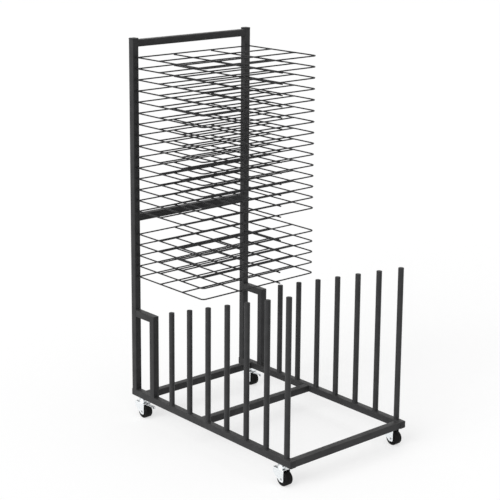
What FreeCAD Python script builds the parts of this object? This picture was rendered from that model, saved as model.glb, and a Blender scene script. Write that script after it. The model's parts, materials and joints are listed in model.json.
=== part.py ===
# Rolling art drying rack with twenty pull-out wire shelves over a base for standing canvases.
#
# Frame of the model: millimetres, +Z up, +X from the left post to the right one, -Y to the front of the rack.
# The origin is on the floor, under the middle of the rack's outline.
#
# Two square-tube posts stand on the rear ends of two side rails. Round divider bars stand on the side rails,
# a little taller from each one to the next towards the front. Each shelf is a bent frame wire whose rear ends
# plug through the front and rear walls of the posts, with three cross wires butt-welded inside it and two
# inner wires welded below them. Four swivel casters are screwed up into weld nuts inside the side rails.

import FreeCAD
import Part
import Sketcher

import math
import os

DOCUMENT = FreeCAD.newDocument("art_drying_rack")
SHEET = DOCUMENT.addObject("Spreadsheet::Sheet", "Sizes")

# Every driving size in millimetres: alias, value, what it measures.
SIZES = [
    ("tube", 25.0, "side of the square tube"),
    ("tube_wall", 1.5, "wall of the square tube"),
    ("tube_corner", 1.5, "eased outside corner of the square tube"),
    ("rack_width", 552.0, "outside to outside of the posts"),
    ("base_depth", 863.5, "length of a side rail"),
    ("caster_height", 72.0, "floor to the underside of the rails"),
    ("post_above_shelf", 63.0, "wire of the top shelf up to the top of the post"),
    ("top_crossbar_drop", 1.5, "top of the post down to the top of the crossbar"),
    ("mid_crossbar_drop", 26.8, "lowest upper shelf down to the middle of the mid crossbar"),
    ("rear_rail_setback", 26.0, "front of the posts to the rear rail"),
    ("middle_rail_setback", 351.4, "front of the posts to the middle rail"),
    ("brace_reach", 107.0, "front of the post to the front of the brace's leg"),
    ("brace_height", 310.2, "side rail's top to the top of the brace"),
    ("bar_diameter", 20.0, "divider bar"),
    ("bar_wall", 1.2, "wall of the divider bar"),
    ("first_bar_setback", 198.7, "front of the posts to the first bar's middle"),
    ("last_bar_inset", 30.02, "front of the side rail to the last bar's middle"),
    ("first_bar_height", 334.0, "length of the shortest bar"),
    ("bar_step", 34.45, "how much longer each bar is than the one behind"),
    ("bar_cap_height", 3.0, "plastic cap on a bar"),
    ("bar_cap_ease", 1.2, "eased rim of a bar's cap"),
    ("post_cap_height", 5.0, "head of a post's cap"),
    ("post_cap_lip", 0.4, "how far that head stands past the tube, each side"),
    ("rail_plug_height", 2.2, "head of a rail's end plug"),
    ("plug_depth", 14.0, "how far a cap or plug reaches into its tube"),
    ("plug_clearance", 0.15, "between a plug and the tube, each side"),
    ("wire", 5.0, "thickness of the shelf wire"),
    ("shelf_reach", 373.5, "front of the posts to the middle of the front wire"),
    ("wire_bend", 14.0, "bend at a front corner, on the wire's middle"),
    ("wire_end_gap", 1.0, "wire's end, short of the post's rear face"),
    ("wire_clearance", 0.1, "between a wire and its hole, each side"),
    ("rear_cross_setback", 8.0, "front of the posts to the rear cross wire"),
    ("cross_wire_pitch", 125.5, "from one cross wire to the next"),
    ("inner_overhang", 12.0, "inner wire past the front wire and the rear cross wire"),
    ("top_shelf_height", 1245.0, "side rail's top to the wire of the top shelf"),
    ("shelf_pitch", 40.0, "from one shelf to the next"),
    ("crossbar_skip", 86.0, "from the shelf above the mid crossbar to the one below"),
    ("wheel_diameter", 50.0, "caster wheel"),
    ("wheel_width", 28.0, "caster wheel over its rim"),
    ("shoulder", 2.4, "eased shoulder of the tread"),
    ("hub_diameter", 18.0, "wheel hub, which stands out to the fork's plates"),
    ("axle_diameter", 6.0, "riveted axle"),
    ("axle_head", 9.0, "head of the axle rivet"),
    ("axle_head_height", 1.5, "height of that head"),
    ("running_clearance", 0.1, "radial clearance of wheel, swivel and pedal pivot"),
    ("side_clearance", 0.3, "between the hub and a fork plate, and race and crown"),
    ("swivel_offset", 15.5, "axle in front of the swivel axis"),
    ("fork_width", 34.0, "over the fork's two plates"),
    ("fork_sheet", 2.0, "sheet of the fork"),
    ("fork_front", 8.5, "axle to the front edge of the fork"),
    ("fork_rear", 41.0, "axle to the rear of the fork"),
    ("fork_top", 33.0, "axle up to the top of the fork's plate"),
    ("fork_rear_skirt", 14.0, "axle up to the lower edge of the rear skirt"),
    ("fork_lobe", 11.5, "axle down to the bottom of the fork"),
    ("fork_lobe_rear", 8.0, "axle to the lobe's rear corner before it is eased"),
    ("fork_lobe_ease", 6.0, "eased lower corners of the fork"),
    ("fork_corner", 3.0, "eased rear corners of the fork"),
    ("crown_base", 28.0, "raised crown, across its foot"),
    ("crown_ease", 4.0, "eased rim of the crown"),
    ("crown_gap", 5.0, "underside of the rail to the crown's top"),
    ("stem_diameter", 10.0, "threaded stem"),
    ("stem_reach", 14.0, "how far the stem stands up inside the rail"),
    ("stem_head", 15.0, "head under the fork's plate, across its flats"),
    ("stem_head_height", 2.5, "height of that head"),
    ("race_diameter", 24.4, "top race of the swivel"),
    ("nut_flats", 17.0, "weld nut across flats"),
    ("nut_height", 8.0, "weld nut"),
    ("front_caster_inset", 54.0, "front of the side rail to the front swivel axis"),
    ("rear_caster_inset", 49.0, "rear of the side rail to the rear swivel axis"),
    ("pedal_width", 14.0, "brake pedal"),
    ("pedal_reach", 56.0, "axle to the tip of the pedal"),
    ("pedal_sheet", 2.0, "sheet of the pedal"),
    ("pedal_lip", 7.0, "length of the bent tip"),
    ("pedal_tip_drop", 5.0, "how far the tip is bent down"),
    ("pedal_tip_edge", 1.2, "thickness of the tip's edge"),
    ("pedal_top_step", 0.3, "top of the pedal, below the top of its pin"),
    ("pedal_pivot_front", 6.5, "axle forward to the pedal's pivot"),
    ("pedal_pivot_height", 27.8, "axle up to the pedal's pivot"),
    ("pedal_pin", 4.0, "pivot pin of the pedal"),
    ("pedal_pin_head", 0.5, "pin past the fork's plate, each side"),
    ("shoe_drop", 3.8, "pivot down to the brake shoe's face"),
    ("shoe_front", 13.0, "pivot forward to the root of the brake shoe"),
    ("shoe_rear", 7.5, "pivot forward to the rear of the shoe's face"),
]

# Round pieces that repeat are drawn with this many flat sides, to keep the whole rack light.
WIRE_SIDES = 6
BAR_SIDES = 12
HOLE_SIDES = 8
CROWN_SIDES = 16
WHEEL_SIDES = 28

# Counts, which choose how many pieces there are.
BAR_COUNT = 7
UPPER_SHELVES = 15
LOWER_SHELVES = 5
CROSS_WIRES = 3
INNER_WIRES = 2
BEND_CHORDS = 2

# Places that several pieces share, as formulas of the sheet.
POST_X = "(Sizes.rack_width - Sizes.tube) / 2"
POST_Y = "(Sizes.base_depth / 2 - Sizes.tube / 2)"
POST_FRONT = "(Sizes.base_depth / 2 - Sizes.tube)"
RAIL_Z = "(Sizes.caster_height + Sizes.tube / 2)"
RAIL_TOP = "(Sizes.caster_height + Sizes.tube)"
BETWEEN_TUBES = "(Sizes.rack_width - 2 * Sizes.tube)"
POST_LENGTH = "(Sizes.top_shelf_height + Sizes.post_above_shelf)"
LOWEST_UPPER_SHELF = "(Sizes.top_shelf_height - Sizes.shelf_pitch * %d)" % (UPPER_SHELVES - 1)
BAR_ROOM = "(Sizes.base_depth - Sizes.tube - Sizes.first_bar_setback - Sizes.last_bar_inset)"
BAR_PITCH = "(%s / %d)" % (BAR_ROOM, BAR_COUNT - 1)
AXLE_Y = "(-Sizes.swivel_offset)"
AXLE_Z = "(Sizes.wheel_diameter / 2 - Sizes.caster_height)"
PIN_Y = AXLE_Y + " - Sizes.pedal_pivot_front"
PIN_Z = AXLE_Z + " + Sizes.pedal_pivot_height"
FORK_INSIDE = "(Sizes.fork_width - 2 * Sizes.fork_sheet)"
FORK_PLATE_UNDERSIDE = AXLE_Z + " + Sizes.fork_top - Sizes.fork_sheet"
WIRE_CORNER = "Sizes.wire / 2 / cos(180 deg / %d)" % WIRE_SIDES

# How a length of tube or wire lies: its section's plane, and the turn that lays a prism from +Z along it.
SECTION_PLANE = {"X": "YZ_Plane", "Y": "XZ_Plane", "Z": "XY_Plane"}
LAY_ALONG = {
    "X": FreeCAD.Rotation(FreeCAD.Vector(0, 1, 0), 90),
    "Y": FreeCAD.Rotation(FreeCAD.Vector(1, 0, 0), -90),
    "Z": FreeCAD.Rotation(),
}

# The angle round a prism, before it is laid down, that faces up afterwards.
UPWARD = {"X": 0.0, "Y": 90.0}


def fill_sheet():
    """Write each size into the sheet under its alias."""
    for row, (alias, value, note) in enumerate(SIZES, start=1):
        SHEET.set("A%d" % row, note)
        SHEET.set("B%d" % row, "%g" % value)
        SHEET.setAlias("B%d" % row, alias)
    DOCUMENT.recompute()


def bind(thing, formulas):
    """Tie properties of one object to formulas of the sheet."""
    for name, formula in formulas.items():
        thing.setExpression(name, formula)


def place(thing, x="0", y="0", z="0", turn=None):
    """Put an object at a place given as formulas, turned as stated."""
    if turn is not None:
        thing.Placement = FreeCAD.Placement(FreeCAD.Vector(), turn)
    bind(thing, {"Placement.Base.x": x, "Placement.Base.y": y, "Placement.Base.z": z})


def new_body(label):
    body = DOCUMENT.addObject("PartDesign::Body", label)
    body.Label = label
    return body


def new_sketch(body, plane):
    """A sketch on one of the body's own origin planes."""
    sketch = body.newObject("Sketcher::SketchObject", body.Name + "_sketch")
    flat = [part for part in body.Origin.OriginFeatures if part.Role == plane][0]
    sketch.AttachmentSupport = [(flat, "")]
    sketch.MapMode = "FlatFace"
    return sketch


def lift(sketch, distance):
    """Move a sketch off its plane along the plane's normal."""
    sketch.setExpression("AttachmentOffset.Base.z", distance)


def pin_point(sketch, line, end, across, up):
    """Fix one sketch point by its two distances from the sketch's origin."""
    for kind, formula in (("DistanceX", across), ("DistanceY", up)):
        index = sketch.addConstraint(Sketcher.Constraint(kind, -1, 1, line, end, 1.0))
        sketch.setExpression("Constraints[%d]" % index, formula)


def outline(sketch, corners):
    """A closed outline through corners given as pairs of formulas."""
    count = len(corners)
    first = sketch.GeometryCount
    rough = [
        FreeCAD.Vector(40 * math.cos(math.tau * n / count), 40 * math.sin(math.tau * n / count), 0)
        for n in range(count)
    ]
    for n in range(count):
        sketch.addGeometry(Part.LineSegment(rough[n], rough[(n + 1) % count]))
    for n in range(count):
        sketch.addConstraint(Sketcher.Constraint("Coincident", first + n, 2, first + (n + 1) % count, 1))
    for n, (across, up) in enumerate(corners):
        pin_point(sketch, first + n, 1, across, up)


def open_line(sketch, points):
    """A chain of straight lines through points given as pairs of formulas."""
    last = len(points) - 2
    for n in range(last + 1):
        start = FreeCAD.Vector(30 * n, 7 * n, 0)
        sketch.addGeometry(Part.LineSegment(start, start + FreeCAD.Vector(30, 7, 0)))
    for n in range(last):
        sketch.addConstraint(Sketcher.Constraint("Coincident", n, 2, n + 1, 1))
    for n in range(last + 1):
        pin_point(sketch, n, 1, *points[n])
    pin_point(sketch, last, 2, *points[-1])


def square(sketch, side):
    """A square about the sketch's origin."""
    half = "(%s) / 2" % side
    outline(sketch, [("-" + half, "-" + half), (half, "-" + half), (half, half), ("-" + half, half)])


def circle(sketch, diameter, across="0", up="0"):
    """A circle with its middle at a place given as formulas."""
    index = sketch.addGeometry(Part.Circle(FreeCAD.Vector(1, 1, 0), FreeCAD.Vector(0, 0, 1), 1.0))
    pin_point(sketch, index, 3, across, up)
    size = sketch.addConstraint(Sketcher.Constraint("Diameter", index, 2.0))
    sketch.setExpression("Constraints[%d]" % size, diameter)


def faceted_circle(sketch, sides, diameter, across="0", up="0", flats=False):
    """A circle drawn with even sides. Its corners lie on it, or, with flats set, its flats do, one on top."""
    radius = "(%s) / 2" % diameter
    if flats:
        radius = "(%s) / 2 / cos(180 deg / %d)" % (diameter, sides)
    start = sides / 4.0 + 0.5 if flats else 0.0
    corners = []
    for n in range(sides):
        angle = "%g deg" % (360.0 * (n + start) / sides)
        corner_across = "%s * cos(%s) + %s" % (radius, angle, across)
        corner_up = "%s * sin(%s) + %s" % (radius, angle, up)
        corners.append((corner_across, corner_up))
    outline(sketch, corners)


def pad_both_ways(body, sketch, length):
    """Pad a sketch by half the length to each side of its plane."""
    pad = body.newObject("PartDesign::Pad", body.Name + "_pad")
    pad.Profile = sketch
    pad.SideType = "Symmetric"
    pad.setExpression("Length", length)
    return pad


def pad_up(body, sketch, length, reverse=False):
    pad = body.newObject("PartDesign::Pad", body.Name + "_pad")
    pad.Profile = sketch
    pad.Reversed = reverse
    pad.setExpression("Length", length)
    return pad


def cut_both_ways(body, sketch, length):
    """Pocket a sketch by half the length to each side of its plane."""
    pocket = body.newObject("PartDesign::Pocket", body.Name + "_cut")
    pocket.Profile = sketch
    pocket.SideType = "Symmetric"
    pocket.setExpression("Length", length)
    return pocket


def edges_where(feature, wanted):
    """Names of the edges whose end points both pass the test."""
    names = []
    for index, edge in enumerate(feature.Shape.Edges, start=1):
        points = [vertex.Point for vertex in edge.Vertexes]
        if len(points) == 2 and wanted(*points):
            names.append("Edge%d" % index)
    return names


def dress(body, kind, base, names, size_name, size):
    """A PartDesign fillet or chamfer on named edges."""
    dressed = body.newObject(kind, body.Name + "_dressed")
    dressed.Base = (base, names)
    dressed.setExpression(size_name, size)
    return dressed


def is_outside_corner(direction, half):
    """True for an edge that runs along the tube on one of its four outside corners."""
    axes = [axis for axis in "xyz" if axis != direction.lower()]

    def test(start, end):
        return all(
            abs(abs(getattr(point, axis)) - half) < 0.01
            and abs(getattr(start, axis) - getattr(end, axis)) < 0.01
            for point in (start, end)
            for axis in axes
        )

    return test


def square_tube(label, direction, length):
    """A straight length of square tube, centred on its own origin."""
    body = new_body(label)
    section = new_sketch(body, SECTION_PLANE[direction])
    square(section, "Sizes.tube")
    square(section, "Sizes.tube - 2 * Sizes.tube_wall")
    pad = pad_both_ways(body, section, length)
    DOCUMENT.recompute()
    corners = edges_where(pad, is_outside_corner(direction, SHEET.tube / 2))
    dress(body, "PartDesign::Chamfer", pad, corners, "Size", "Sizes.tube_corner")
    return body


# --------------------------------------------------------------------------------------------------
# The frame of square tube
# --------------------------------------------------------------------------------------------------


def wire_holes(body, height, count):
    """A column of holes through a post's front and rear walls, from the top one down."""
    sketch = new_sketch(body, "XZ_Plane")
    faceted_circle(sketch, WIRE_SIDES, "Sizes.wire + 2 * Sizes.wire_clearance", "0", height, flats=True)
    hole = cut_both_ways(body, sketch, "Sizes.tube + 2 * Sizes.wire")
    column = body.newObject("PartDesign::LinearPattern", body.Name + "_column")
    column.Originals = [hole]
    column.Direction = (sketch, ["V_Axis"])
    column.Reversed = True
    column.Occurrences = count
    column.setExpression("Length", "Sizes.shelf_pitch * %d" % (count - 1))
    body.Tip = column


def post(label, side):
    """A rear post, standing on the side rail, drilled for the shelves' wire ends."""
    body = square_tube(label, "Z", POST_LENGTH)
    middle = POST_LENGTH + " / 2"
    top = "Sizes.top_shelf_height - " + middle
    wire_holes(body, top, UPPER_SHELVES)
    lower = "%s - Sizes.crossbar_skip - %s" % (LOWEST_UPPER_SHELF, middle)
    wire_holes(body, lower, LOWER_SHELVES)
    place(body, "%d * %s" % (side, POST_X), POST_Y, "%s + %s" % (RAIL_TOP, middle))
    return body


def crossbars():
    """The two bars that join the posts."""
    top = square_tube("top_crossbar", "X", BETWEEN_TUBES)
    height = POST_LENGTH + " - Sizes.top_crossbar_drop - Sizes.tube / 2"
    place(top, "0", POST_Y, "%s + %s" % (RAIL_TOP, height))
    middle = square_tube("mid_crossbar", "X", BETWEEN_TUBES)
    height = LOWEST_UPPER_SHELF + " - Sizes.mid_crossbar_drop"
    place(middle, "0", POST_Y, "%s + %s" % (RAIL_TOP, height))
    return [top, middle]


def mitre(body, corners):
    """Cut a tube's end at 45 degrees with a wedge drawn in side view."""
    sketch = new_sketch(body, "YZ_Plane")
    outline(sketch, corners)
    body.Tip = cut_both_ways(body, sketch, "2 * Sizes.tube")


def brace(name, side):
    """The bracket that ties a post to its side rail: an arm and a leg, mitred where they meet."""
    over = "(Sizes.tube)"
    arm = square_tube(name + "_brace_arm", "Y", "Sizes.brace_reach")
    front = "-Sizes.brace_reach / 2"
    mitre(
        arm,
        [
            (front + " - " + over, "Sizes.tube / 2 + " + over),
            (front + " - " + over, "-Sizes.tube / 2 - " + over),
            (front + " + 2 * " + over, "-Sizes.tube / 2 - " + over),
        ],
    )
    across = "%d * %s" % (side, POST_X)
    arm_z = "%s + Sizes.brace_height - Sizes.tube / 2" % RAIL_TOP
    place(arm, across, "%s - Sizes.brace_reach / 2" % POST_FRONT, arm_z)
    leg = square_tube(name + "_brace_leg", "Z", "Sizes.brace_height")
    top = "Sizes.brace_height / 2"
    mitre(
        leg,
        [
            ("-Sizes.tube / 2 - " + over, top + " + " + over),
            ("Sizes.tube / 2 + " + over, top + " + " + over),
            ("Sizes.tube / 2 + " + over, top + " - 2 * " + over),
        ],
    )
    leg_y = "%s - Sizes.brace_reach + Sizes.tube / 2" % POST_FRONT
    place(leg, across, leg_y, "%s + Sizes.brace_height / 2" % RAIL_TOP)
    return [arm, leg]


def stem_hole(body, y):
    """A round hole in a side rail's lower wall for one caster stem."""
    sketch = new_sketch(body, "XY_Plane")
    bore = "Sizes.stem_diameter + 2 * Sizes.running_clearance"
    faceted_circle(sketch, HOLE_SIDES, bore, "0", y, flats=True)
    pocket = body.newObject("PartDesign::Pocket", body.Name + "_stem_hole")
    pocket.Profile = sketch
    pocket.setExpression("Length", "Sizes.tube")
    body.Tip = pocket


FRONT_CASTER_Y = "(Sizes.front_caster_inset - Sizes.base_depth / 2)"
REAR_CASTER_Y = "(Sizes.base_depth / 2 - Sizes.rear_caster_inset)"


def side_rail(label, side):
    """A side rail of the base, with a stem hole near each end."""
    body = square_tube(label, "Y", "Sizes.base_depth")
    stem_hole(body, FRONT_CASTER_Y)
    stem_hole(body, REAR_CASTER_Y)
    place(body, "%d * %s" % (side, POST_X), "0", RAIL_Z)
    return body


def cross_rails():
    """The three rails between the side rails."""
    places = {
        "front_rail": "Sizes.tube / 2 - Sizes.base_depth / 2",
        "middle_rail": POST_FRONT + " - Sizes.middle_rail_setback - Sizes.tube / 2",
        "rear_rail": POST_FRONT + " - Sizes.rear_rail_setback - Sizes.tube / 2",
    }
    rails = []
    for label, y in places.items():
        rail = square_tube(label, "X", BETWEEN_TUBES)
        place(rail, "0", y, RAIL_Z)
        rails.append(rail)
    return rails


# --------------------------------------------------------------------------------------------------
# Groups of like pieces
# --------------------------------------------------------------------------------------------------


def copy_of(pieces, name, x="0", y="0", z="0", turn=None):
    """One more copy of a piece, or of several that go together, at a place of its own."""
    group = DOCUMENT.addObject("Part::Compound", name)
    group.Label = name
    group.Links = pieces
    place(group, x, y, z, turn)
    return group


def cap(label, head, head_height):
    """A plastic cap: a square head with eased edges on a plug that fits the tube. The head starts at 0."""
    body = new_body(label)
    plug = new_sketch(body, "XY_Plane")
    square(plug, "Sizes.tube - 2 * Sizes.tube_wall - 2 * Sizes.plug_clearance")
    pad_up(body, plug, "Sizes.plug_depth", reverse=True)
    top = new_sketch(body, "XY_Plane")
    square(top, head)
    pad = pad_up(body, top, head_height)
    eased_rim(body, pad, "Sizes.tube_corner")
    return body


def post_caps():
    """The caps on the two posts."""
    one = cap("post_cap", "Sizes.tube + 2 * Sizes.post_cap_lip", "Sizes.post_cap_height")
    height = "%s + %s" % (RAIL_TOP, POST_LENGTH)
    pair = [
        copy_of([one], "post_cap_%s" % name, "%d * %s" % (side, POST_X), POST_Y, height)
        for name, side in (("left", -1), ("right", 1))
    ]
    return copy_of(pair, "post_caps")


def rail_end_plugs():
    """The plugs in both ends of both side rails."""
    one = cap("rail_plug", "Sizes.tube", "Sizes.rail_plug_height")
    plugs = []
    for name, side in (("left", -1), ("right", 1)):
        for end, way, angle in (("front", -1, 90), ("rear", 1, -90)):
            turn = FreeCAD.Rotation(FreeCAD.Vector(1, 0, 0), angle)
            y = "%d * Sizes.base_depth / 2" % way
            across = "%d * %s" % (side, POST_X)
            plugs.append(copy_of([one], "rail_plug_%s_%s" % (name, end), across, y, RAIL_Z, turn))
    return copy_of(plugs, "rail_end_plugs")


def round_bar(name, radius, height, x, y, z):
    """A standing round bar, drawn with flat sides."""
    rod = DOCUMENT.addObject("Part::Prism", name)
    rod.Polygon = BAR_SIDES
    bind(rod, {"Circumradius": radius, "Height": height})
    place(rod, x, y, z)
    return rod


def bar_place(side, number):
    """Where a divider bar stands, and how long it is."""
    across = "%d * %s" % (side, POST_X)
    along = "%s - Sizes.first_bar_setback - %s * %d" % (POST_FRONT, BAR_PITCH, number)
    tall = "(Sizes.first_bar_height + Sizes.bar_step * %d)" % number
    return across, along, tall


def divider_bars(label, side):
    """The seven divider bars of one side, round tubes standing on the side rail."""
    bars = []
    for number in range(BAR_COUNT):
        x, y, tall = bar_place(side, number)
        name = "%s_%d" % (label, number + 1)
        outside = round_bar(name + "_outside", "Sizes.bar_diameter / 2", tall, x, y, RAIL_TOP)
        bore = round_bar(name + "_bore", "Sizes.bar_diameter / 2 - Sizes.bar_wall", tall, x, y, RAIL_TOP)
        bar = DOCUMENT.addObject("Part::Cut", name)
        bar.Base = outside
        bar.Tool = bore
        bars.append(bar)
    return copy_of(bars, label)


def eased_rim(body, pad, size, highest=True):
    """Chamfer every edge round the top of a pad, or round its bottom."""
    DOCUMENT.recompute()
    box = pad.Shape.BoundBox
    level = box.ZMax if highest else box.ZMin
    rim = edges_where(pad, lambda start, end: abs(start.z - level) < 0.01 and abs(end.z - level) < 0.01)
    return dress(body, "PartDesign::Chamfer", pad, rim, "Size", size)


def bar_caps():
    """The round caps on all the divider bars."""
    body = new_body("bar_cap")
    sketch = new_sketch(body, "XY_Plane")
    faceted_circle(sketch, BAR_SIDES, "Sizes.bar_diameter")
    pad = pad_up(body, sketch, "Sizes.bar_cap_height")
    eased_rim(body, pad, "Sizes.bar_cap_ease")
    caps = []
    for side in (-1, 1):
        for number in range(BAR_COUNT):
            x, y, tall = bar_place(side, number)
            name = "bar_cap_%s_%d" % ("left" if side < 0 else "right", number + 1)
            caps.append(copy_of([body], name, x, y, "%s + %s" % (RAIL_TOP, tall)))
    return copy_of(caps, "bar_caps")


# --------------------------------------------------------------------------------------------------
# The wire shelves
# --------------------------------------------------------------------------------------------------


def frame_wire():
    """The bent wire round a shelf, from its left rear end round the front to its right rear end.

    Its ends lie inside the posts. The shelf's own origin is on the line of the posts' front faces.
    """
    body = new_body("shelf_frame_wire")
    section = new_sketch(body, "XZ_Plane")
    faceted_circle(section, WIRE_SIDES, "Sizes.wire", flats=True)
    path = new_sketch(body, "XY_Plane")
    back = "(Sizes.tube - Sizes.wire_end_gap)"
    deep = "(Sizes.shelf_reach + %s)" % back
    wide = "(Sizes.rack_width - Sizes.tube)"
    points = [("0", "0")]
    for step in range(BEND_CHORDS + 1):
        angle = "%g deg" % (90.0 * step / BEND_CHORDS)
        inward = "Sizes.wire_bend * (1 - cos(%s))" % angle
        ahead = "-(%s - Sizes.wire_bend + Sizes.wire_bend * sin(%s))" % (deep, angle)
        points.append((inward, ahead))
    for inward, ahead in reversed(points[1:]):
        points.append(("%s - %s" % (wide, inward), ahead))
    points.append((wide, "0"))
    open_line(path, points)
    pipe = body.newObject("PartDesign::AdditivePipe", "shelf_frame_wire_pipe")
    pipe.Profile = section
    pipe.Spine = path
    pipe.Transition = "Right corner"
    place(body, "-%s / 2" % wide, back, "0")
    return body


def straight_wire(name, direction, length, x, y, z):
    """A straight wire of the shelf, from its start in the way it runs."""
    prism = DOCUMENT.addObject("Part::Prism", name)
    prism.Polygon = WIRE_SIDES
    bind(prism, {"Circumradius": WIRE_CORNER, "Height": length})
    flat_up = FreeCAD.Rotation(FreeCAD.Vector(0, 0, 1), UPWARD[direction] - 180.0 / WIRE_SIDES)
    place(prism, x, y, z, LAY_ALONG[direction] * flat_up)
    return prism


def shelf_wires():
    """All the wires of one shelf: the frame wire, the cross wires inside it and the inner wires below."""
    wires = [frame_wire()]
    span = "(Sizes.rack_width - Sizes.tube)"
    for number in range(CROSS_WIRES):
        y = "-Sizes.rear_cross_setback - Sizes.cross_wire_pitch * %d" % number
        name = "shelf_cross_wire_%d" % (number + 1)
        length = "%s - 2 * %s" % (span, WIRE_CORNER)
        wires.append(straight_wire(name, "X", length, "%s - %s / 2" % (WIRE_CORNER, span), y, "0"))
    for number in range(INNER_WIRES):
        x = "%s * %d / %d - %s / 2" % (span, number + 1, INNER_WIRES + 1, span)
        name = "shelf_inner_wire_%d" % (number + 1)
        length = "Sizes.shelf_reach - Sizes.rear_cross_setback + 2 * Sizes.inner_overhang"
        y = "-Sizes.shelf_reach - Sizes.inner_overhang"
        wires.append(straight_wire(name, "Y", length, x, y, "-Sizes.wire"))
    return wires


def shelves():
    """The twenty shelves, fifteen above the mid crossbar and five below it."""
    wires = shelf_wires()
    copies = []
    for number in range(UPPER_SHELVES + LOWER_SHELVES):
        drop = "Sizes.shelf_pitch * %d" % number
        if number >= UPPER_SHELVES:
            drop = "Sizes.shelf_pitch * %d + Sizes.crossbar_skip" % (number - 1)
        height = "%s + Sizes.top_shelf_height - (%s)" % (RAIL_TOP, drop)
        copies.append(copy_of(wires, "shelf_%02d" % (number + 1), "0", POST_FRONT, height))
    return copies


# --------------------------------------------------------------------------------------------------
# The casters. Each is drawn about its swivel axis, from the underside of the rail down, and rolls forwards.
# --------------------------------------------------------------------------------------------------


def caster_stem():
    """The threaded stem, whose head carries the fork."""
    body = new_body("caster_stem")
    head_top = "%s - Sizes.side_clearance" % FORK_PLATE_UNDERSIDE
    head = new_sketch(body, "XY_Plane")
    lift(head, head_top)
    faceted_circle(head, 6, "Sizes.stem_head", flats=True)
    pad_up(body, head, "Sizes.stem_head_height", reverse=True)
    shank = new_sketch(body, "XY_Plane")
    lift(shank, head_top)
    circle(shank, "Sizes.stem_diameter")
    pad_up(body, shank, "Sizes.stem_reach - (%s)" % head_top)
    return body


def caster_race():
    """The top race, clamped between the rail and the crown of the fork."""
    body = new_body("caster_race")
    sketch = new_sketch(body, "XY_Plane")
    faceted_circle(sketch, CROWN_SIDES, "Sizes.race_diameter")
    faceted_circle(sketch, HOLE_SIDES, "Sizes.stem_diameter + Sizes.running_clearance", flats=True)
    pad_up(body, sketch, "Sizes.crown_gap - Sizes.side_clearance", reverse=True)
    return body


def weld_nut():
    """The nut welded inside the rail over a stem hole."""
    body = new_body("weld_nut")
    sketch = new_sketch(body, "XY_Plane")
    faceted_circle(sketch, 6, "Sizes.nut_flats", flats=True)
    faceted_circle(sketch, HOLE_SIDES, "Sizes.stem_diameter + Sizes.running_clearance", flats=True)
    pad_up(body, sketch, "Sizes.nut_height")
    place(body, "0", "0", "Sizes.tube_wall")
    return body


def fork_block(body):
    """The outside of the fork in side view, over its full width, with its lower and rear corners eased."""
    sketch = new_sketch(body, "YZ_Plane")
    front = AXLE_Y + " - Sizes.fork_front"
    rear = AXLE_Y + " + Sizes.fork_rear"
    top = AXLE_Z + " + Sizes.fork_top"
    low = AXLE_Z + " - Sizes.fork_lobe"
    outline(
        sketch,
        [
            (front, top),
            (front, low),
            (AXLE_Y + " + Sizes.fork_lobe_rear", low),
            (rear, AXLE_Z + " + Sizes.fork_rear_skirt"),
            (rear, top),
        ],
    )
    pad = pad_both_ways(body, sketch, "Sizes.fork_width")
    DOCUMENT.recompute()
    bottom = pad.Shape.BoundBox.ZMin
    lower = edges_where(
        pad, lambda start, end: max(start.z, end.z) < bottom + 0.01 and abs(start.y - end.y) < 0.01
    )
    eased = dress(body, "PartDesign::Chamfer", pad, lower, "Size", "Sizes.fork_lobe_ease")
    DOCUMENT.recompute()
    back = eased.Shape.BoundBox.YMax
    rear_edges = edges_where(
        eased, lambda start, end: min(start.y, end.y) > back - 0.01 and abs(start.x - end.x) < 0.01
    )
    return dress(body, "PartDesign::Chamfer", eased, rear_edges, "Size", "Sizes.fork_corner")


def fork_channel(body):
    """Hollow the fork from below, leaving two plates, the top and the rear skirt."""
    sketch = new_sketch(body, "YZ_Plane")
    ahead = AXLE_Y + " - Sizes.wheel_diameter"
    inner_rear = AXLE_Y + " + Sizes.fork_rear - Sizes.fork_sheet"
    below = AXLE_Z + " - Sizes.wheel_diameter"
    outline(
        sketch,
        [
            (ahead, below),
            (inner_rear, below),
            (inner_rear, FORK_PLATE_UNDERSIDE),
            (ahead, FORK_PLATE_UNDERSIDE),
        ],
    )
    return cut_both_ways(body, sketch, FORK_INSIDE)


def fork_crown(body):
    """The raised crown that turns under the race."""
    foot = "%s + Sizes.fork_sheet" % FORK_PLATE_UNDERSIDE
    sketch = new_sketch(body, "XY_Plane")
    lift(sketch, foot)
    faceted_circle(sketch, CROWN_SIDES, "Sizes.crown_base")
    pad = pad_up(body, sketch, "-Sizes.crown_gap - (%s)" % foot)
    eased_rim(body, pad, "Sizes.crown_ease")


def caster_fork(label, with_pedal):
    """A pressed fork: channel, raised crown round the stem, and holes for the axle and the pedal's pin."""
    body = new_body(label)
    fork_block(body)
    fork_channel(body)
    fork_crown(body)
    stem = new_sketch(body, "XY_Plane")
    faceted_circle(stem, HOLE_SIDES, "Sizes.stem_diameter + 2 * Sizes.running_clearance", flats=True)
    hole = body.newObject("PartDesign::Pocket", label + "_stem_hole")
    hole.Profile = stem
    hole.setExpression("Length", "Sizes.caster_height / 2")
    across = new_sketch(body, "YZ_Plane")
    axle_hole = "Sizes.axle_diameter + Sizes.running_clearance"
    faceted_circle(across, HOLE_SIDES, axle_hole, AXLE_Y, AXLE_Z, flats=True)
    if with_pedal:
        pin = "Sizes.pedal_pin + 2 * Sizes.running_clearance"
        faceted_circle(across, HOLE_SIDES, pin, PIN_Y, PIN_Z, flats=True)
    body.Tip = cut_both_ways(body, across, "2 * Sizes.fork_width")
    return body


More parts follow.
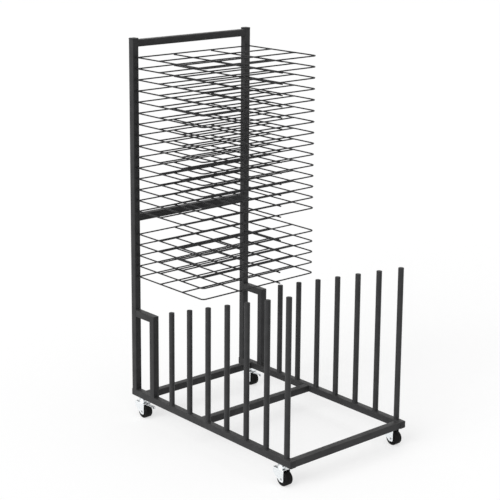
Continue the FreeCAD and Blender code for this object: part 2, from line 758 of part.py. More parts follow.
def caster_wheel():
    """A moulded wheel with eased tread shoulders and a hub that stands out to the fork's plates."""
    body = new_body("caster_wheel")
    tread = new_sketch(body, "YZ_Plane")
    faceted_circle(tread, WHEEL_SIDES, "Sizes.wheel_diameter", flats=True)
    pad = pad_both_ways(body, tread, "Sizes.wheel_width")
    DOCUMENT.recompute()
    shoulders = edges_where(pad, lambda start, end: abs(start.x - end.x) < 0.01)
    dress(body, "PartDesign::Chamfer", pad, shoulders, "Size", "Sizes.shoulder")
    hub = new_sketch(body, "YZ_Plane")
    faceted_circle(hub, HOLE_SIDES, "Sizes.hub_diameter")
    pad_both_ways(body, hub, "%s - 2 * Sizes.side_clearance" % FORK_INSIDE)
    bore = new_sketch(body, "YZ_Plane")
    faceted_circle(bore, HOLE_SIDES, "Sizes.axle_diameter + 2 * Sizes.running_clearance", flats=True)
    body.Tip = cut_both_ways(body, bore, "2 * Sizes.wheel_width")
    place(body, "0", AXLE_Y, AXLE_Z)
    return body


def caster_axle():
    """The axle, riveted over outside both plates of the fork."""
    body = new_body("caster_axle")
    shank = new_sketch(body, "YZ_Plane")
    circle(shank, "Sizes.axle_diameter")
    pad_both_ways(body, shank, "Sizes.fork_width")
    for side in (-1, 1):
        head = new_sketch(body, "YZ_Plane")
        lift(head, "%d * Sizes.fork_width / 2" % side)
        faceted_circle(head, HOLE_SIDES, "Sizes.axle_head")
        pad_up(body, head, "Sizes.axle_head_height", reverse=side < 0)
    place(body, "0", AXLE_Y, AXLE_Z)
    return body


def brake_pedal():
    """The foot pedal that rocks on a pin through the fork and presses a shoe onto the tread.

    It is drawn about its own pivot.
    """
    body = new_body("brake_pedal")
    sketch = new_sketch(body, "YZ_Plane")
    tip = "(Sizes.pedal_pivot_front - Sizes.pedal_reach)"
    pin = "Sizes.pedal_pin / 2"
    top = pin + " - Sizes.pedal_top_step"
    sheet = "Sizes.pedal_sheet"
    outline(
        sketch,
        [
            ("0", pin),
            (tip + " + Sizes.pedal_lip", top),
            (tip, top + " - Sizes.pedal_tip_drop"),
            (tip + " + Sizes.pedal_tip_edge", top + " - Sizes.pedal_tip_drop - Sizes.pedal_tip_edge"),
            ("%s + Sizes.pedal_lip + %s / 2" % (tip, sheet), "%s - %s" % (top, sheet)),
            ("-Sizes.shoe_front", "%s - %s" % (pin, sheet)),
            ("%s - Sizes.shoe_front" % sheet, "-Sizes.shoe_drop"),
            ("-Sizes.shoe_rear", "-Sizes.shoe_drop"),
            ("0", "-" + pin),
        ],
    )
    pad_both_ways(body, sketch, "Sizes.pedal_width")
    pivot = new_sketch(body, "YZ_Plane")
    circle(pivot, "Sizes.pedal_pin")
    pad_both_ways(body, pivot, "Sizes.fork_width + 2 * Sizes.pedal_pin_head")
    place(body, "0", PIN_Y, PIN_Z)
    return body


def casters():
    """The four casters' pieces. Nuts, stems and races stay with the rails, the rest swivels."""
    stem = caster_stem()
    race = caster_race()
    nut = weld_nut()
    wheel = caster_wheel()
    axle = caster_axle()
    pedal = brake_pedal()
    plain = caster_fork("plain_fork", False)
    braked = caster_fork("braked_fork", True)
    made = []
    fixed = {"weld_nuts": [], "caster_stems": [], "caster_races": []}
    corners = (
        ("front_left", -1, FRONT_CASTER_Y, plain),
        ("front_right", 1, FRONT_CASTER_Y, plain),
        ("rear_left", -1, REAR_CASTER_Y, braked),
        ("rear_right", 1, REAR_CASTER_Y, braked),
    )
    for corner, side, y, fork in corners:
        spot = ("%d * %s" % (side, POST_X), y, "Sizes.caster_height")
        fixed["weld_nuts"].append(copy_of([nut], "weld_nut_" + corner, *spot))
        fixed["caster_stems"].append(copy_of([stem], "caster_stem_" + corner, *spot))
        fixed["caster_races"].append(copy_of([race], "caster_race_" + corner, *spot))
        made.append(copy_of([fork], "caster_fork_" + corner, *spot))
        made.append(copy_of([wheel], "caster_wheel_" + corner, *spot))
        made.append(copy_of([axle], "caster_axle_" + corner, *spot))
        if fork is braked:
            made.append(copy_of([pedal], "brake_pedal_" + corner, *spot))
    for label, group in fixed.items():
        made.append(copy_of(group, label))
    return made


# --------------------------------------------------------------------------------------------------
# The whole rack
# --------------------------------------------------------------------------------------------------


def check_document():
    """Stop if any object failed to build."""
    for thing in DOCUMENT.Objects:
        if any(word in ("Invalid", "Error") for word in thing.State):
            raise RuntimeError("%s did not build: %s" % (thing.Label, thing.State))


def write_parts(pieces):
    """Write each piece's solids to its own file."""
    os.makedirs("parts", exist_ok=True)
    for piece in pieces:
        if piece.Shape.isNull() or not piece.Shape.isValid() or not piece.Shape.Solids:
            raise RuntimeError("%s has no valid solid" % piece.Label)
        piece.Shape.exportStep("parts/%s.step" % piece.Label)
        print("%-28s %2d solid(s) %12.1f mm3" % (piece.Label, len(piece.Shape.Solids), piece.Shape.Volume))


def build():
    fill_sheet()
    pieces = [post("left_post", -1), post("right_post", 1)]
    pieces += crossbars()
    pieces += brace("left", -1) + brace("right", 1)
    pieces += [side_rail("left_side_rail", -1), side_rail("right_side_rail", 1)]
    pieces += cross_rails()
    pieces += [post_caps(), rail_end_plugs()]
    pieces += [divider_bars("left_bars", -1), divider_bars("right_bars", 1), bar_caps()]
    pieces += shelves()
    pieces += casters()
    DOCUMENT.recompute()
    check_document()
    write_parts(pieces)
    print("%d pieces written" % len(pieces))


build()
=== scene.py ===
# %% [markdown]
# # A rolling art drying rack
#
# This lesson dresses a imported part: the frame arrives as plain, flat-sided solids with the right sizes, and
# the cells below build the real rack over them piece by piece, each from its own measurements. Lengths are
# in metres, +Z is up, -Y is the front of the rack, and +X runs from the left post to the right one.

import json
import math

import bmesh
import bpy
from mathutils import Matrix, Vector


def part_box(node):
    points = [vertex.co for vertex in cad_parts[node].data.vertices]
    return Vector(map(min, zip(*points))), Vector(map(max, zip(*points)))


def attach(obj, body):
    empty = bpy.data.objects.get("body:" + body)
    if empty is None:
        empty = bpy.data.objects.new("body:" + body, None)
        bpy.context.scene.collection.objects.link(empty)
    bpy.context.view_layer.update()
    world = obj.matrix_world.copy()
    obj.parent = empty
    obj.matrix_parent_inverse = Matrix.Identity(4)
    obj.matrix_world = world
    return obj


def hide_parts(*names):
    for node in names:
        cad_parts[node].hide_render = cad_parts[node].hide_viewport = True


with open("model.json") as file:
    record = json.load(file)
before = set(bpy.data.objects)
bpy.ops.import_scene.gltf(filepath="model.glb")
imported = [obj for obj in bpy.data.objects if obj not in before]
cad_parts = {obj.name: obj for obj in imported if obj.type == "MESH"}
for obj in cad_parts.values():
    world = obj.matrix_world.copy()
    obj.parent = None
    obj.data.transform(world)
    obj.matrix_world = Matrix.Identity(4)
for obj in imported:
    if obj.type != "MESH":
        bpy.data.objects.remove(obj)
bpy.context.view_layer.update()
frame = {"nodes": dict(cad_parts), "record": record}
nodes = frame["nodes"]

# %% [markdown]
# ## Measuring the solids
#
# A node such as the left bars holds seven separate solids in one mesh. Splitting it into its islands tells
# where each bar stands, so that nothing below has to repeat a position. A flood fill over shared edges does
# it: start at a face, keep adding neighbours, and box what was reached.

# %% Find each solid of a node
MM = 0.001
WELD_DISTANCE = 0.001 * MM
SORT_DIGITS = 4


def solids_of(node):
    """(lowest corner, highest corner) of each solid in a node, left to right, back to front, upward."""
    shape = bmesh.new()
    shape.from_mesh(nodes[node].data)
    bmesh.ops.remove_doubles(shape, verts=shape.verts, dist=WELD_DISTANCE)
    waiting, boxes = set(shape.verts), []
    while waiting:
        reached = [waiting.pop()]
        for vert in reached:
            for edge in vert.link_edges:
                other = edge.other_vert(vert)
                if other in waiting:
                    waiting.discard(other)
                    reached.append(other)
        low = Vector([min(v.co[axis] for v in reached) for axis in range(3)])
        high = Vector([max(v.co[axis] for v in reached) for axis in range(3)])
        boxes.append((low, high))
    shape.free()

    def order(box):
        x, y, z = (round(value, SORT_DIGITS) for value in box[0])
        return x, -y, z

    return sorted(boxes, key=order)


print("bars on the left", len(solids_of("left_bars")))

# %% [markdown]
# ## From a drawing to a mesh
#
# Every piece is drawn in a bmesh and ends up in one object. Faces are shaded smooth, and an edge is kept
# crisp only where its two faces meet at more than a set angle. That gives round tubes a round look and
# leaves sheared and sawn ends sharp, which is how the real ones read.

# %% Turn a drawing into a piece
CRISP_ANGLE = math.radians(32)


def finish_mesh(shape, name):
    """Close a bmesh drawing into a mesh, smooth except at crisp edges."""
    bmesh.ops.recalc_face_normals(shape, faces=shape.faces)
    for face in shape.faces:
        face.smooth = True
    for edge in shape.edges:
        if len(edge.link_faces) == 2:
            edge.smooth = edge.calc_face_angle(0.0) < CRISP_ANGLE
    mesh = bpy.data.meshes.new(name)
    shape.to_mesh(mesh)
    shape.free()
    return mesh


def put_in_scene(name, data):
    """A new object in the scene that holds a mesh, a lamp or a camera."""
    thing = bpy.data.objects.new(name, data)
    bpy.context.scene.collection.objects.link(thing)
    return thing


def new_piece(name, shape, material, body):
    """Put a bmesh drawing into the scene as one piece that moves with a body."""
    piece = put_in_scene(name, finish_mesh(shape, name))
    piece.data.materials.append(material)
    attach(piece, body)
    return piece


print("edges stay crisp above", round(math.degrees(CRISP_ANGLE)), "degrees")

# %% [markdown]
# ## Rings, skins and turned shapes
#
# Nearly everything on the rack is a section carried along a path: wire, tube, weld bead. One helper joins
# rings of points into a skin, a second turns a profile about an axis as a lathe does. Curve objects could
# do the same, but writing the rings ourselves lets a bead swell and shrink along its run.

# %% Skin a row of rings
def skin(shape, rings, closed=False):
    """Join rings of equally many points into a skin, capped at its ends unless it closes on itself."""
    loops = [[shape.verts.new(point) for point in ring] for ring in rings]
    pairs = list(zip(loops, loops[1:]))
    if closed:
        pairs.append((loops[-1], loops[0]))
    for one, two in pairs:
        for here in range(len(one)):
            after = (here + 1) % len(one)
            shape.faces.new((one[here], one[after], two[after], two[here]))
    if not closed:
        shape.faces.new(list(reversed(loops[0])))
        shape.faces.new(loops[-1])


def turned(shape, profile, sides, centre, axis="Z"):
    """Turn a profile of (radius, height) points about an axis. It closes where the radius is nought."""
    steps = [2 * math.pi * step / sides for step in range(sides)]
    along = {"X": 0, "Y": 1, "Z": 2}[axis]
    across = [n for n in range(3) if n != along]
    rows = []
    for radius, height in profile:
        row = []
        for angle in steps if radius > 0 else [0.0]:
            point = Vector(centre)
            point[along] += height
            point[across[0]] += radius * math.cos(angle)
            point[across[1]] += radius * math.sin(angle)
            row.append(shape.verts.new(point))
        rows.append(row)
    for low, high in zip(rows, rows[1:]):
        for here in range(sides):
            after = (here + 1) % sides
            corners = [low[here % len(low)], low[after % len(low)]]
            corners += [high[after % len(high)], high[here % len(high)]]
            corners = [vert for n, vert in enumerate(corners) if vert not in corners[:n]]
            shape.faces.new(corners)


def arc(centre, radius, start, end, steps):
    """Points of an arc in a plane, from one angle to another, in degrees."""
    angles = [math.radians(start + (end - start) * step / steps) for step in range(steps + 1)]
    return [(centre[0] + radius * math.cos(a), centre[1] + radius * math.sin(a)) for a in angles]


print("points in a quarter turn of five steps", len(arc((0, 0), 1, 0, 90, 5)))

# %% [markdown]
# ## Carrying a round section along a path
#
# A wire is a circle pushed along its centre line. At each point the circle is turned to face the way the
# path runs, starting from the turn it had one point before, so that it never twists. The radius may change
# along the path: at a sheared wire end it closes in over the last half millimetre.

# %% Draw a rod along a path
def directions(path, closed):
    """The way that a path runs at each of its points."""
    last = len(path) - 1
    ways = []
    for n in range(len(path)):
        before = path[n - 1] if n > 0 or closed else path[n]
        after = path[(n + 1) % len(path)] if n < last or closed else path[n]
        ways.append((after - before).normalized())
    return ways


def rod(shape, path, radii, sides, closed=False):
    """A round rod along a path, with a radius for each of its points."""
    ways = directions(path, closed)
    side = ways[0].orthogonal().normalized()
    rings = []
    for point, way, radius in zip(path, ways, radii):
        side = (side - way * side.dot(way)).normalized()
        other = way.cross(side)
        turns = [2 * math.pi * n / sides for n in range(sides)]
        rings.append([point + radius * (math.cos(t) * side + math.sin(t) * other) for t in turns])
    skin(shape, rings, closed)


print("a path to the rear runs", *directions([Vector((0, 0, 0)), Vector((0, 1, 0))], False)[0])

# %% [markdown]
# ## Shared effects for the finishes
#
# Powder coat, plastic, zinc and rubber all need a little relief, a little unevenness in their gloss and a
# trace of dust. Each effect is a shader node group that hands back a height, a value or a colour, so every
# material can place it with its own strength. The shader itself stays in the material, where the export can
# read it.

# %% Start a node group
def new_group(name, inputs, outputs):
    """A shader node group with named sockets, and its two end nodes."""
    group = bpy.data.node_groups.new(name, "ShaderNodeTree")
    for label, kind, value in inputs:
        group.interface.new_socket(label, in_out="INPUT", socket_type=kind).default_value = value
    for label, kind in outputs:
        group.interface.new_socket(label, in_out="OUTPUT", socket_type=kind)
    return group, group.nodes.new("NodeGroupInput"), group.nodes.new("NodeGroupOutput")


def add_node(tree, kind, **settings):
    """Add a node and set what is named."""
    node = tree.nodes.new(kind)
    for setting, value in settings.items():
        setattr(node, setting, value)
    return node


def noise(tree, scale, detail, roughness=0.5):
    """A noise texture in the piece's own coordinates, with its scale from a socket or a number."""
    place = add_node(tree, "ShaderNodeTexCoord")
    texture = add_node(tree, "ShaderNodeTexNoise")
    tree.links.new(place.outputs["Object"], texture.inputs["Vector"])
    texture.inputs["Detail"].default_value = detail
    texture.inputs["Roughness"].default_value = roughness
    if isinstance(scale, (int, float)):
        texture.inputs["Scale"].default_value = scale
    else:
        tree.links.new(scale, texture.inputs["Scale"])
    return texture.outputs["Fac"]


def maths(tree, operation, first, second=None, third=None):
    """A maths node fed by sockets or numbers."""
    node = add_node(tree, "ShaderNodeMath", operation=operation)
    for socket, value in zip(node.inputs, (first, second, third)):
        if isinstance(value, (int, float)):
            socket.default_value = value
        elif value is not None:
            tree.links.new(value, socket)
    return node.outputs[0]


print("node groups so far", len(bpy.data.node_groups))

# %% [markdown]
# ### Orange peel
#
# Powder coat flows out in the oven but keeps a fine ripple, like the skin of an orange, with ripples one or
# two millimetres apart and a much finer grit on them. Two noises of different scale, added, give that
# height. An image of a bump map would repeat on long tubes, which a noise never does.

# %% Group: orange peel
def orange_peel_group():
    """A height made of broad ripples and fine grit."""
    sockets = [("Ripples", "NodeSocketFloat", 700.0), ("Grit", "NodeSocketFloat", 3500.0)]
    sockets.append(("Grit Share", "NodeSocketFloat", 0.35))
    group, given, result = new_group("Orange Peel", sockets, [("Height", "NodeSocketFloat")])
    ripples = noise(group, given.outputs["Ripples"], detail=2.0)
    grit = noise(group, given.outputs["Grit"], detail=3.0)
    height = maths(group, "MULTIPLY_ADD", grit, given.outputs["Grit Share"], ripples)
    group.links.new(height, result.inputs["Height"])
    return group


ORANGE_PEEL = orange_peel_group()
print("made", ORANGE_PEEL.name)

# %% [markdown]
# ### Uneven gloss
#
# Hands, packing foam and a wipe with a cloth leave patches a few centimetres wide that shine a little more
# or less. The group turns a slow noise into a roughness between two limits. Painting the patches by hand
# would look no better and would have to be redone for every tube.

# %% Group: uneven gloss
GLOSS_BAND = (0.36, 0.64)


def spread_noise(tree, speckle, band):
    """Stretch the band in which most of a noise lies over the whole way from one limit to the other."""
    spread = add_node(tree, "ShaderNodeMapRange", clamp=True)
    spread.inputs["From Min"].default_value = band[0]
    spread.inputs["From Max"].default_value = band[1]
    tree.links.new(speckle, spread.inputs["Value"])
    return spread


def uneven_gloss_group():
    """A roughness that drifts between two limits."""
    sockets = [("Patches", "NodeSocketFloat", 14.0), ("Low", "NodeSocketFloat", 0.4)]
    sockets.append(("High", "NodeSocketFloat", 0.6))
    group, given, result = new_group("Uneven Gloss", sockets, [("Roughness", "NodeSocketFloat")])
    broad = noise(group, given.outputs["Patches"], detail=4.0, roughness=0.62)
    spread = spread_noise(group, broad, GLOSS_BAND)
    group.links.new(given.outputs["Low"], spread.inputs["To Min"])
    group.links.new(given.outputs["High"], spread.inputs["To Max"])
    group.links.new(spread.outputs["Result"], result.inputs["Roughness"])
    return group


UNEVEN_GLOSS = uneven_gloss_group()
print("made", UNEVEN_GLOSS.name)

# %% [markdown]
# ### Settled dust
#
# Dust lies where a surface looks up, and never evenly. The upward part of the normal, multiplied by a
# noise, makes the mask, and the mask mixes a pale grey into the finish. It is kept faint: the rack is
# nearly new.

# %% Group: settled dust
SPECKLE_SCALE = 55.0
SPECKLE_CONTRAST = 1.6


def settled_dust_group():
    """The finish's colour with a thin film of dust on what faces up."""
    sockets = [("Colour", "NodeSocketColor", (0.05, 0.05, 0.05, 1.0))]
    sockets.append(("Dust", "NodeSocketColor", (0.45, 0.43, 0.40, 1.0)))
    sockets.append(("Amount", "NodeSocketFloat", 0.1))
    group, given, result = new_group("Settled Dust", sockets, [("Colour", "NodeSocketColor")])
    surface = add_node(group, "ShaderNodeNewGeometry")
    split = add_node(group, "ShaderNodeSeparateXYZ")
    group.links.new(surface.outputs["Normal"], split.inputs[0])
    facing_up = maths(group, "MAXIMUM", split.outputs["Z"], 0.0)
    specks = noise(group, SPECKLE_SCALE, detail=6.0, roughness=0.7)
    speckle = maths(group, "POWER", specks, SPECKLE_CONTRAST)
    film = maths(group, "MULTIPLY", facing_up, speckle)
    mask = maths(group, "MULTIPLY", film, given.outputs["Amount"])
    blend = add_node(group, "ShaderNodeMix", data_type="RGBA")
    group.links.new(mask, blend.inputs["Factor"])
    group.links.new(given.outputs["Colour"], blend.inputs["A"])
    group.links.new(given.outputs["Dust"], blend.inputs["B"])
    group.links.new(blend.outputs["Result"], result.inputs["Colour"])
    return group


SETTLED_DUST = settled_dust_group()
print("made", SETTLED_DUST.name)

# %% [markdown]
# ### Drifting tint
#
# No finish is one colour all over. This group wanders between two close tints with a noise of a chosen
# size: broad for powder coat, millimetre crystals for zinc, streaky for rubber. Keeping both tints as
# inputs means that each material says in one place how far it may drift.

# %% Group: drifting tint
TINT_BAND = (0.38, 0.62)


def drifting_tint_group():
    """A colour that wanders between two tints."""
    sockets = [("Light", "NodeSocketColor", (0.06, 0.06, 0.06, 1.0))]
    sockets.append(("Dark", "NodeSocketColor", (0.04, 0.04, 0.04, 1.0)))
    sockets.append(("Size", "NodeSocketFloat", 60.0))
    group, given, result = new_group("Drifting Tint", sockets, [("Colour", "NodeSocketColor")])
    clouds = noise(group, given.outputs["Size"], detail=5.0, roughness=0.6)
    drift = spread_noise(group, clouds, TINT_BAND)
    blend = add_node(group, "ShaderNodeMix", data_type="RGBA")
    group.links.new(drift.outputs["Result"], blend.inputs["Factor"])
    group.links.new(given.outputs["Dark"], blend.inputs["A"])
    group.links.new(given.outputs["Light"], blend.inputs["B"])
    group.links.new(blend.outputs["Result"], result.inputs["Colour"])
    return group


DRIFTING_TINT = drifting_tint_group()
print("made", DRIFTING_TINT.name)

# %% [markdown]
# ## One recipe for every finish
#
# Each material is a Principled shader fed by the four groups. The recipe takes the two tints, the gloss
# limits, how metallic it is, the size and depth of its relief and how much dust shows. What is the same all
# over, such as metallic and the specular level, is set on the shader's own sockets.

# %% Mix a finish
def placed(tree, group, values):
    """Place a node group and set its inputs by name."""
    node = add_node(tree, "ShaderNodeGroup", node_tree=group)
    for label, value in values.items():
        node.inputs[label].default_value = value
    return node


def finish(slot, light, dark, tint_size, gloss, relief, dust, metallic=0.0, specular=0.5, patches=14.0):
    """The material of a slot. Gloss is (low, high) roughness and relief is (ripples, grit, depth)."""
    material = bpy.data.materials.new(slot + "_finish")
    material["slot"] = slot
    material.use_nodes = True
    tree = material.node_tree
    shader = tree.nodes["Principled BSDF"]
    shader.inputs["Metallic"].default_value = metallic
    shader.inputs["Specular IOR Level"].default_value = specular
    tint = placed(tree, DRIFTING_TINT, {"Light": (*light, 1.0), "Dark": (*dark, 1.0), "Size": tint_size})
    film = placed(tree, SETTLED_DUST, {"Amount": dust})
    tree.links.new(tint.outputs["Colour"], film.inputs["Colour"])
    tree.links.new(film.outputs["Colour"], shader.inputs["Base Color"])
    sheen = placed(tree, UNEVEN_GLOSS, {"Patches": patches, "Low": gloss[0], "High": gloss[1]})
    tree.links.new(sheen.outputs["Roughness"], shader.inputs["Roughness"])
    peel = placed(tree, ORANGE_PEEL, {"Ripples": relief[0], "Grit": relief[1]})
    bump = add_node(tree, "ShaderNodeBump")
    bump.inputs["Strength"].default_value = 1.0
    bump.inputs["Distance"].default_value = relief[2]
    tree.links.new(peel.outputs["Height"], bump.inputs["Height"])
    tree.links.new(bump.outputs["Normal"], shader.inputs["Normal"])
    return material


print("effects to place", len(bpy.data.node_groups))

# %% [markdown]
# ## Black powder coat
#
# Tube, bar and wire all wear black powder coat, the wire a little glossier because its coat is thinner. One
# material could serve all three, but then the wire's finer ripples would be lost. A black object is never
# truly black: these send back from one to three percent of the light.

# %% Mix the coats
POWDER_COAT = finish(
    "powder_coat",
    light=(0.032, 0.032, 0.033),
    dark=(0.024, 0.024, 0.025),
    tint_size=22.0,
    gloss=(0.44, 0.58),
    relief=(650.0, 2600.0, 0.05 * MM),
    dust=0.06,
    specular=0.24,
)
BAR_COAT = finish(
    "bar_powder_coat",
    light=(0.033, 0.033, 0.034),
    dark=(0.025, 0.025, 0.026),
    tint_size=26.0,
    gloss=(0.42, 0.54),
    relief=(650.0, 2600.0, 0.05 * MM),
    dust=0.05,
    specular=0.26,
)
WIRE_COAT = finish(
    "shelf_wire",
    light=(0.013, 0.013, 0.014),
    dark=(0.008, 0.008, 0.009),
    tint_size=40.0,
    gloss=(0.36, 0.50),
    relief=(900.0, 3200.0, 0.03 * MM),
    dust=0.03,
    specular=0.25,
)
COATS = (POWDER_COAT, BAR_COAT, WIRE_COAT)
print("coats", len(COATS))

# %% [markdown]
# ## Bare and plated metal
#
# The forks wear bright zinc that mirrors its surroundings, the pedals and races a duller zinc, and rivets,
# nuts and stems are plain steel. All three are fully metallic, so their tint colours what they reflect, and
# the crystals of the plating come from a drift of only a few millimetres.

# %% Mix the metals
BRIGHT_ZINC = finish(
    "fork_zinc",
    light=(0.94, 0.96, 0.97),
    dark=(0.86, 0.90, 0.92),
    tint_size=240.0,
    gloss=(0.18, 0.32),
    relief=(300.0, 2400.0, 0.02 * MM),
    dust=0.04,
    metallic=1.0,
    patches=60.0,
)
DULL_ZINC = finish(
    "zinc_plate",
    light=(0.90, 0.92, 0.93),
    dark=(0.78, 0.80, 0.82),
    tint_size=320.0,
    gloss=(0.26, 0.42),
    relief=(500.0, 2600.0, 0.03 * MM),
    dust=0.04,
    metallic=1.0,
    patches=80.0,
)
PLAIN_STEEL = finish(
    "steel_hardware",
    light=(0.42, 0.42, 0.43),
    dark=(0.30, 0.30, 0.31),
    tint_size=300.0,
    gloss=(0.32, 0.48),
    relief=(600.0, 3000.0, 0.02 * MM),
    dust=0.06,
    metallic=1.0,
    patches=90.0,
)
METALS = (BRIGHT_ZINC, DULL_ZINC, PLAIN_STEEL)
print("metals", len(METALS))

# %% [markdown]
# ## Moulded plastic and rubber
#
# The caps and plugs are moulded in black plastic and the wheels in hard black rubber. Both are matt: their
# gloss is low, and the fine grain of the mould, which the relief gives them, breaks up what is left of it.

# %% Mix the moulded finishes
BLACK_PLASTIC = finish(
    "black_plastic",
    light=(0.016, 0.016, 0.017),
    dark=(0.011, 0.011, 0.012),
    tint_size=30.0,
    gloss=(0.50, 0.66),
    relief=(1800.0, 5200.0, 0.03 * MM),
    dust=0.05,
    specular=0.3,
)
BLACK_RUBBER = finish(
    "wheel_black",
    light=(0.005, 0.005, 0.005),
    dark=(0.002, 0.002, 0.002),
    tint_size=120.0,
    gloss=(0.50, 0.70),
    relief=(900.0, 3000.0, 0.04 * MM),
    dust=0.02,
    specular=0.12,
    patches=40.0,
)
MOULDED = (BLACK_PLASTIC, BLACK_RUBBER)
FINISHES = {material["slot"]: material for material in COATS + METALS + MOULDED}
print("finishes", len(FINISHES))

# %% [markdown]
# ## Hand the finishes to the solids
#
# The solids that stay in view, such as the nuts inside the rails and the stems, take the same finishes. The
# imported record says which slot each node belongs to, so a short loop does it and no node is forgotten.

# %% Give every solid its finish
for part in frame["record"]["subparts"]:
    solid = nodes[part["node"]]
    solid.data.materials.clear()
    solid.data.materials.append(FINISHES[part["material_slot"]])
print("solids finished", len(nodes))

# %% [markdown]
# ## Square tube
#
# The frame is cold-drawn 25 mm tube, whose corners are rolled round and never sharp. A rounded square is
# drawn for the outside and a smaller one for the bore, and both are carried from end to end with a rim
# between them. A cube with a bevel would look the same from outside, but its open ends would show no wall.

# %% Draw a square tube
TUBE_WIDTH = 25 * MM
TUBE_CORNER = 2.0 * MM
TUBE_WALL = 1.5 * MM
CORNER_STEPS = 5


def rounded_square(width, corner):
    """Points of a square with rounded corners, about its middle."""
    reach = width / 2 - corner
    points = []
    for quarter, (x, y) in enumerate(((1, 1), (-1, 1), (-1, -1), (1, -1))):
        points += arc((x * reach, y * reach), corner, 90 * quarter, 90 * quarter + 90, CORNER_STEPS)
    return points


def longest_side(low, high):
    """Which axis a straight piece runs along."""
    size = high - low
    return max(range(3), key=lambda n: size[n])


def along_axis(axis, station, across, middle):
    """A point at a station along an axis, with two offsets across it."""
    point = Vector(middle)
    point[axis] = station
    others = [n for n in range(3) if n != axis]
    point[others[0]] += across[0]
    point[others[1]] += across[1]
    return point


def tube_walls(shape, low, high, cut=None):
    """A hollow square tube that fills a box. The cut moves each end point along, for a mitre."""
    axis = longest_side(low, high)
    middle = (low + high) / 2
    width = min(high[n] - low[n] for n in range(3))
    outer = rounded_square(width, TUBE_CORNER)
    inner = rounded_square(width - 2 * TUBE_WALL, TUBE_CORNER - TUBE_WALL)
    loops = []
    for end, profile in ((low, outer), (high, outer), (high, inner), (low, inner)):
        ring = [along_axis(axis, end[axis], spot, middle) for spot in profile]
        loops.append([cut(point) if cut else point for point in ring])
    skin(shape, loops, closed=True)


print("points round a tube", len(rounded_square(TUBE_WIDTH, TUBE_CORNER)))

# %% [markdown]
# ## The plain tubes
#
# Crossbars, base rails and side rails are straight lengths, sawn square. Each one takes its place and
# length from its own solid, and stands in for it.

# %% Build the straight tubes
STRAIGHT_TUBES = (
    "top_crossbar",
    "mid_crossbar",
    "left_side_rail",
    "right_side_rail",
    "front_rail",
    "middle_rail",
    "rear_rail",
)


def length_of_tube(node, cut=None):
    """One length of square tube in place of its solid, sawn square unless a cut mitres it."""
    low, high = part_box(node)
    shape = bmesh.new()
    tube_walls(shape, low, high, cut)
    piece = new_piece(node + "_tube", shape, POWDER_COAT, "frame")
    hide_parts(node)


for tube_node in STRAIGHT_TUBES:
    length_of_tube(tube_node)
print("straight tubes", len(STRAIGHT_TUBES))

# %% [markdown]
# ## Joining and cutting
#
# Drilled holes, hollows and raised crowns are made here much as in a workshop: the tool is drawn as a shape
# of its own, and a Boolean modifier takes it away or joins it. The modifier is settled at once, so that the
# piece holds a plain mesh and the tool can be deleted, where a live one would need it in the scene.

# %% Join or cut a piece
def settle_modifiers(piece):
    """Apply a piece's modifiers, so that its mesh is what they made."""
    bpy.context.view_layer.update()
    graph = bpy.context.evaluated_depsgraph_get()
    shape = bmesh.new()
    shape.from_mesh(bpy.data.meshes.new_from_object(piece.evaluated_get(graph)))
    piece.modifiers.clear()
    old = piece.data
    materials = list(old.materials)
    piece.data = finish_mesh(shape, old.name)
    for material in materials:
        piece.data.materials.append(material)


def boolean(piece, other, operation):
    """Join or take away another object, and delete it."""
    step = piece.modifiers.new(operation.title(), "BOOLEAN")
    step.operation = operation
    step.solver = "EXACT"
    step.object = other
    settle_modifiers(piece)
    bpy.data.objects.remove(other)


# %% [markdown]
# ## The posts and their wire holes
#
# Each post is drilled right through for the rear ends of twenty shelves, so that a shelf pulled out leaves
# a clean round hole. The drills are drawn as rods where the shelves' frame wires lie, and a Boolean
# modifier takes them out of the tube. Cutting holes into the faces by hand would need a new mesh for every
# change of pitch.

# %% Build the posts
SHELF_NODES = sorted(name for name in nodes if name.startswith("shelf_"))
HOLE_RADIUS = 2.6 * MM
DRILL_OVERSHOOT = 5 * MM
DRILL_SIDES = 24


def wire_height(shelf):
    """The height of a shelf's frame wire."""
    low, high = max(solids_of(shelf), key=lambda box: box[1].x - box[0].x)
    return (low.z + high.z) / 2


def drilled_post(node):
    """A post with a hole through its front and rear walls for every shelf."""
    low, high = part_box(node)
    shape = bmesh.new()
    tube_walls(shape, low, high)
    piece = new_piece(node + "_tube", shape, POWDER_COAT, "frame")
    drills = bmesh.new()
    x = (low.x + high.x) / 2
    for shelf in SHELF_NODES:
        z = wire_height(shelf)
        path = [Vector((x, low.y - DRILL_OVERSHOOT, z)), Vector((x, high.y + DRILL_OVERSHOOT, z))]
        rod(drills, path, [HOLE_RADIUS] * 2, DRILL_SIDES)
    name = node + "_drills"
    boolean(piece, put_in_scene(name, finish_mesh(drills, name)), "DIFFERENCE")
    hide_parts(node)
    return piece


for post_node in ("left_post", "right_post"):
    print(post_node, "faces", len(drilled_post(post_node).data.polygons))

# %% [markdown]
# ## The braces
#
# Behind the first bars a short arm and leg tie each post to its side rail, cut at 45 degrees where they
# meet. A mitre is a shear of the end: each point moves back along the tube by as much as it lies below or
# behind the outer corner. The same tube helper takes that shear as a small function.

# %% Build the braces
SIDES = ("left", "right")


def mitred_arm(side):
    """The arm that runs forward from the post, mitred at its front end."""
    low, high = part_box(side + "_brace_arm")

    def shear(point):
        if point.y < (low.y + high.y) / 2:
            point.y = low.y + (high.z - point.z)
        return point

    length_of_tube(side + "_brace_arm", shear)


def mitred_leg(side):
    """The leg that stands on the side rail, mitred at its top."""
    low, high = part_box(side + "_brace_leg")

    def shear(point):
        if point.z > (low.z + high.z) / 2:
            point.z = high.z - (point.y - low.y)
        return point

    length_of_tube(side + "_brace_leg", shear)


for side_name in SIDES:
    mitred_arm(side_name)
    mitred_leg(side_name)
print("braces", len(SIDES))

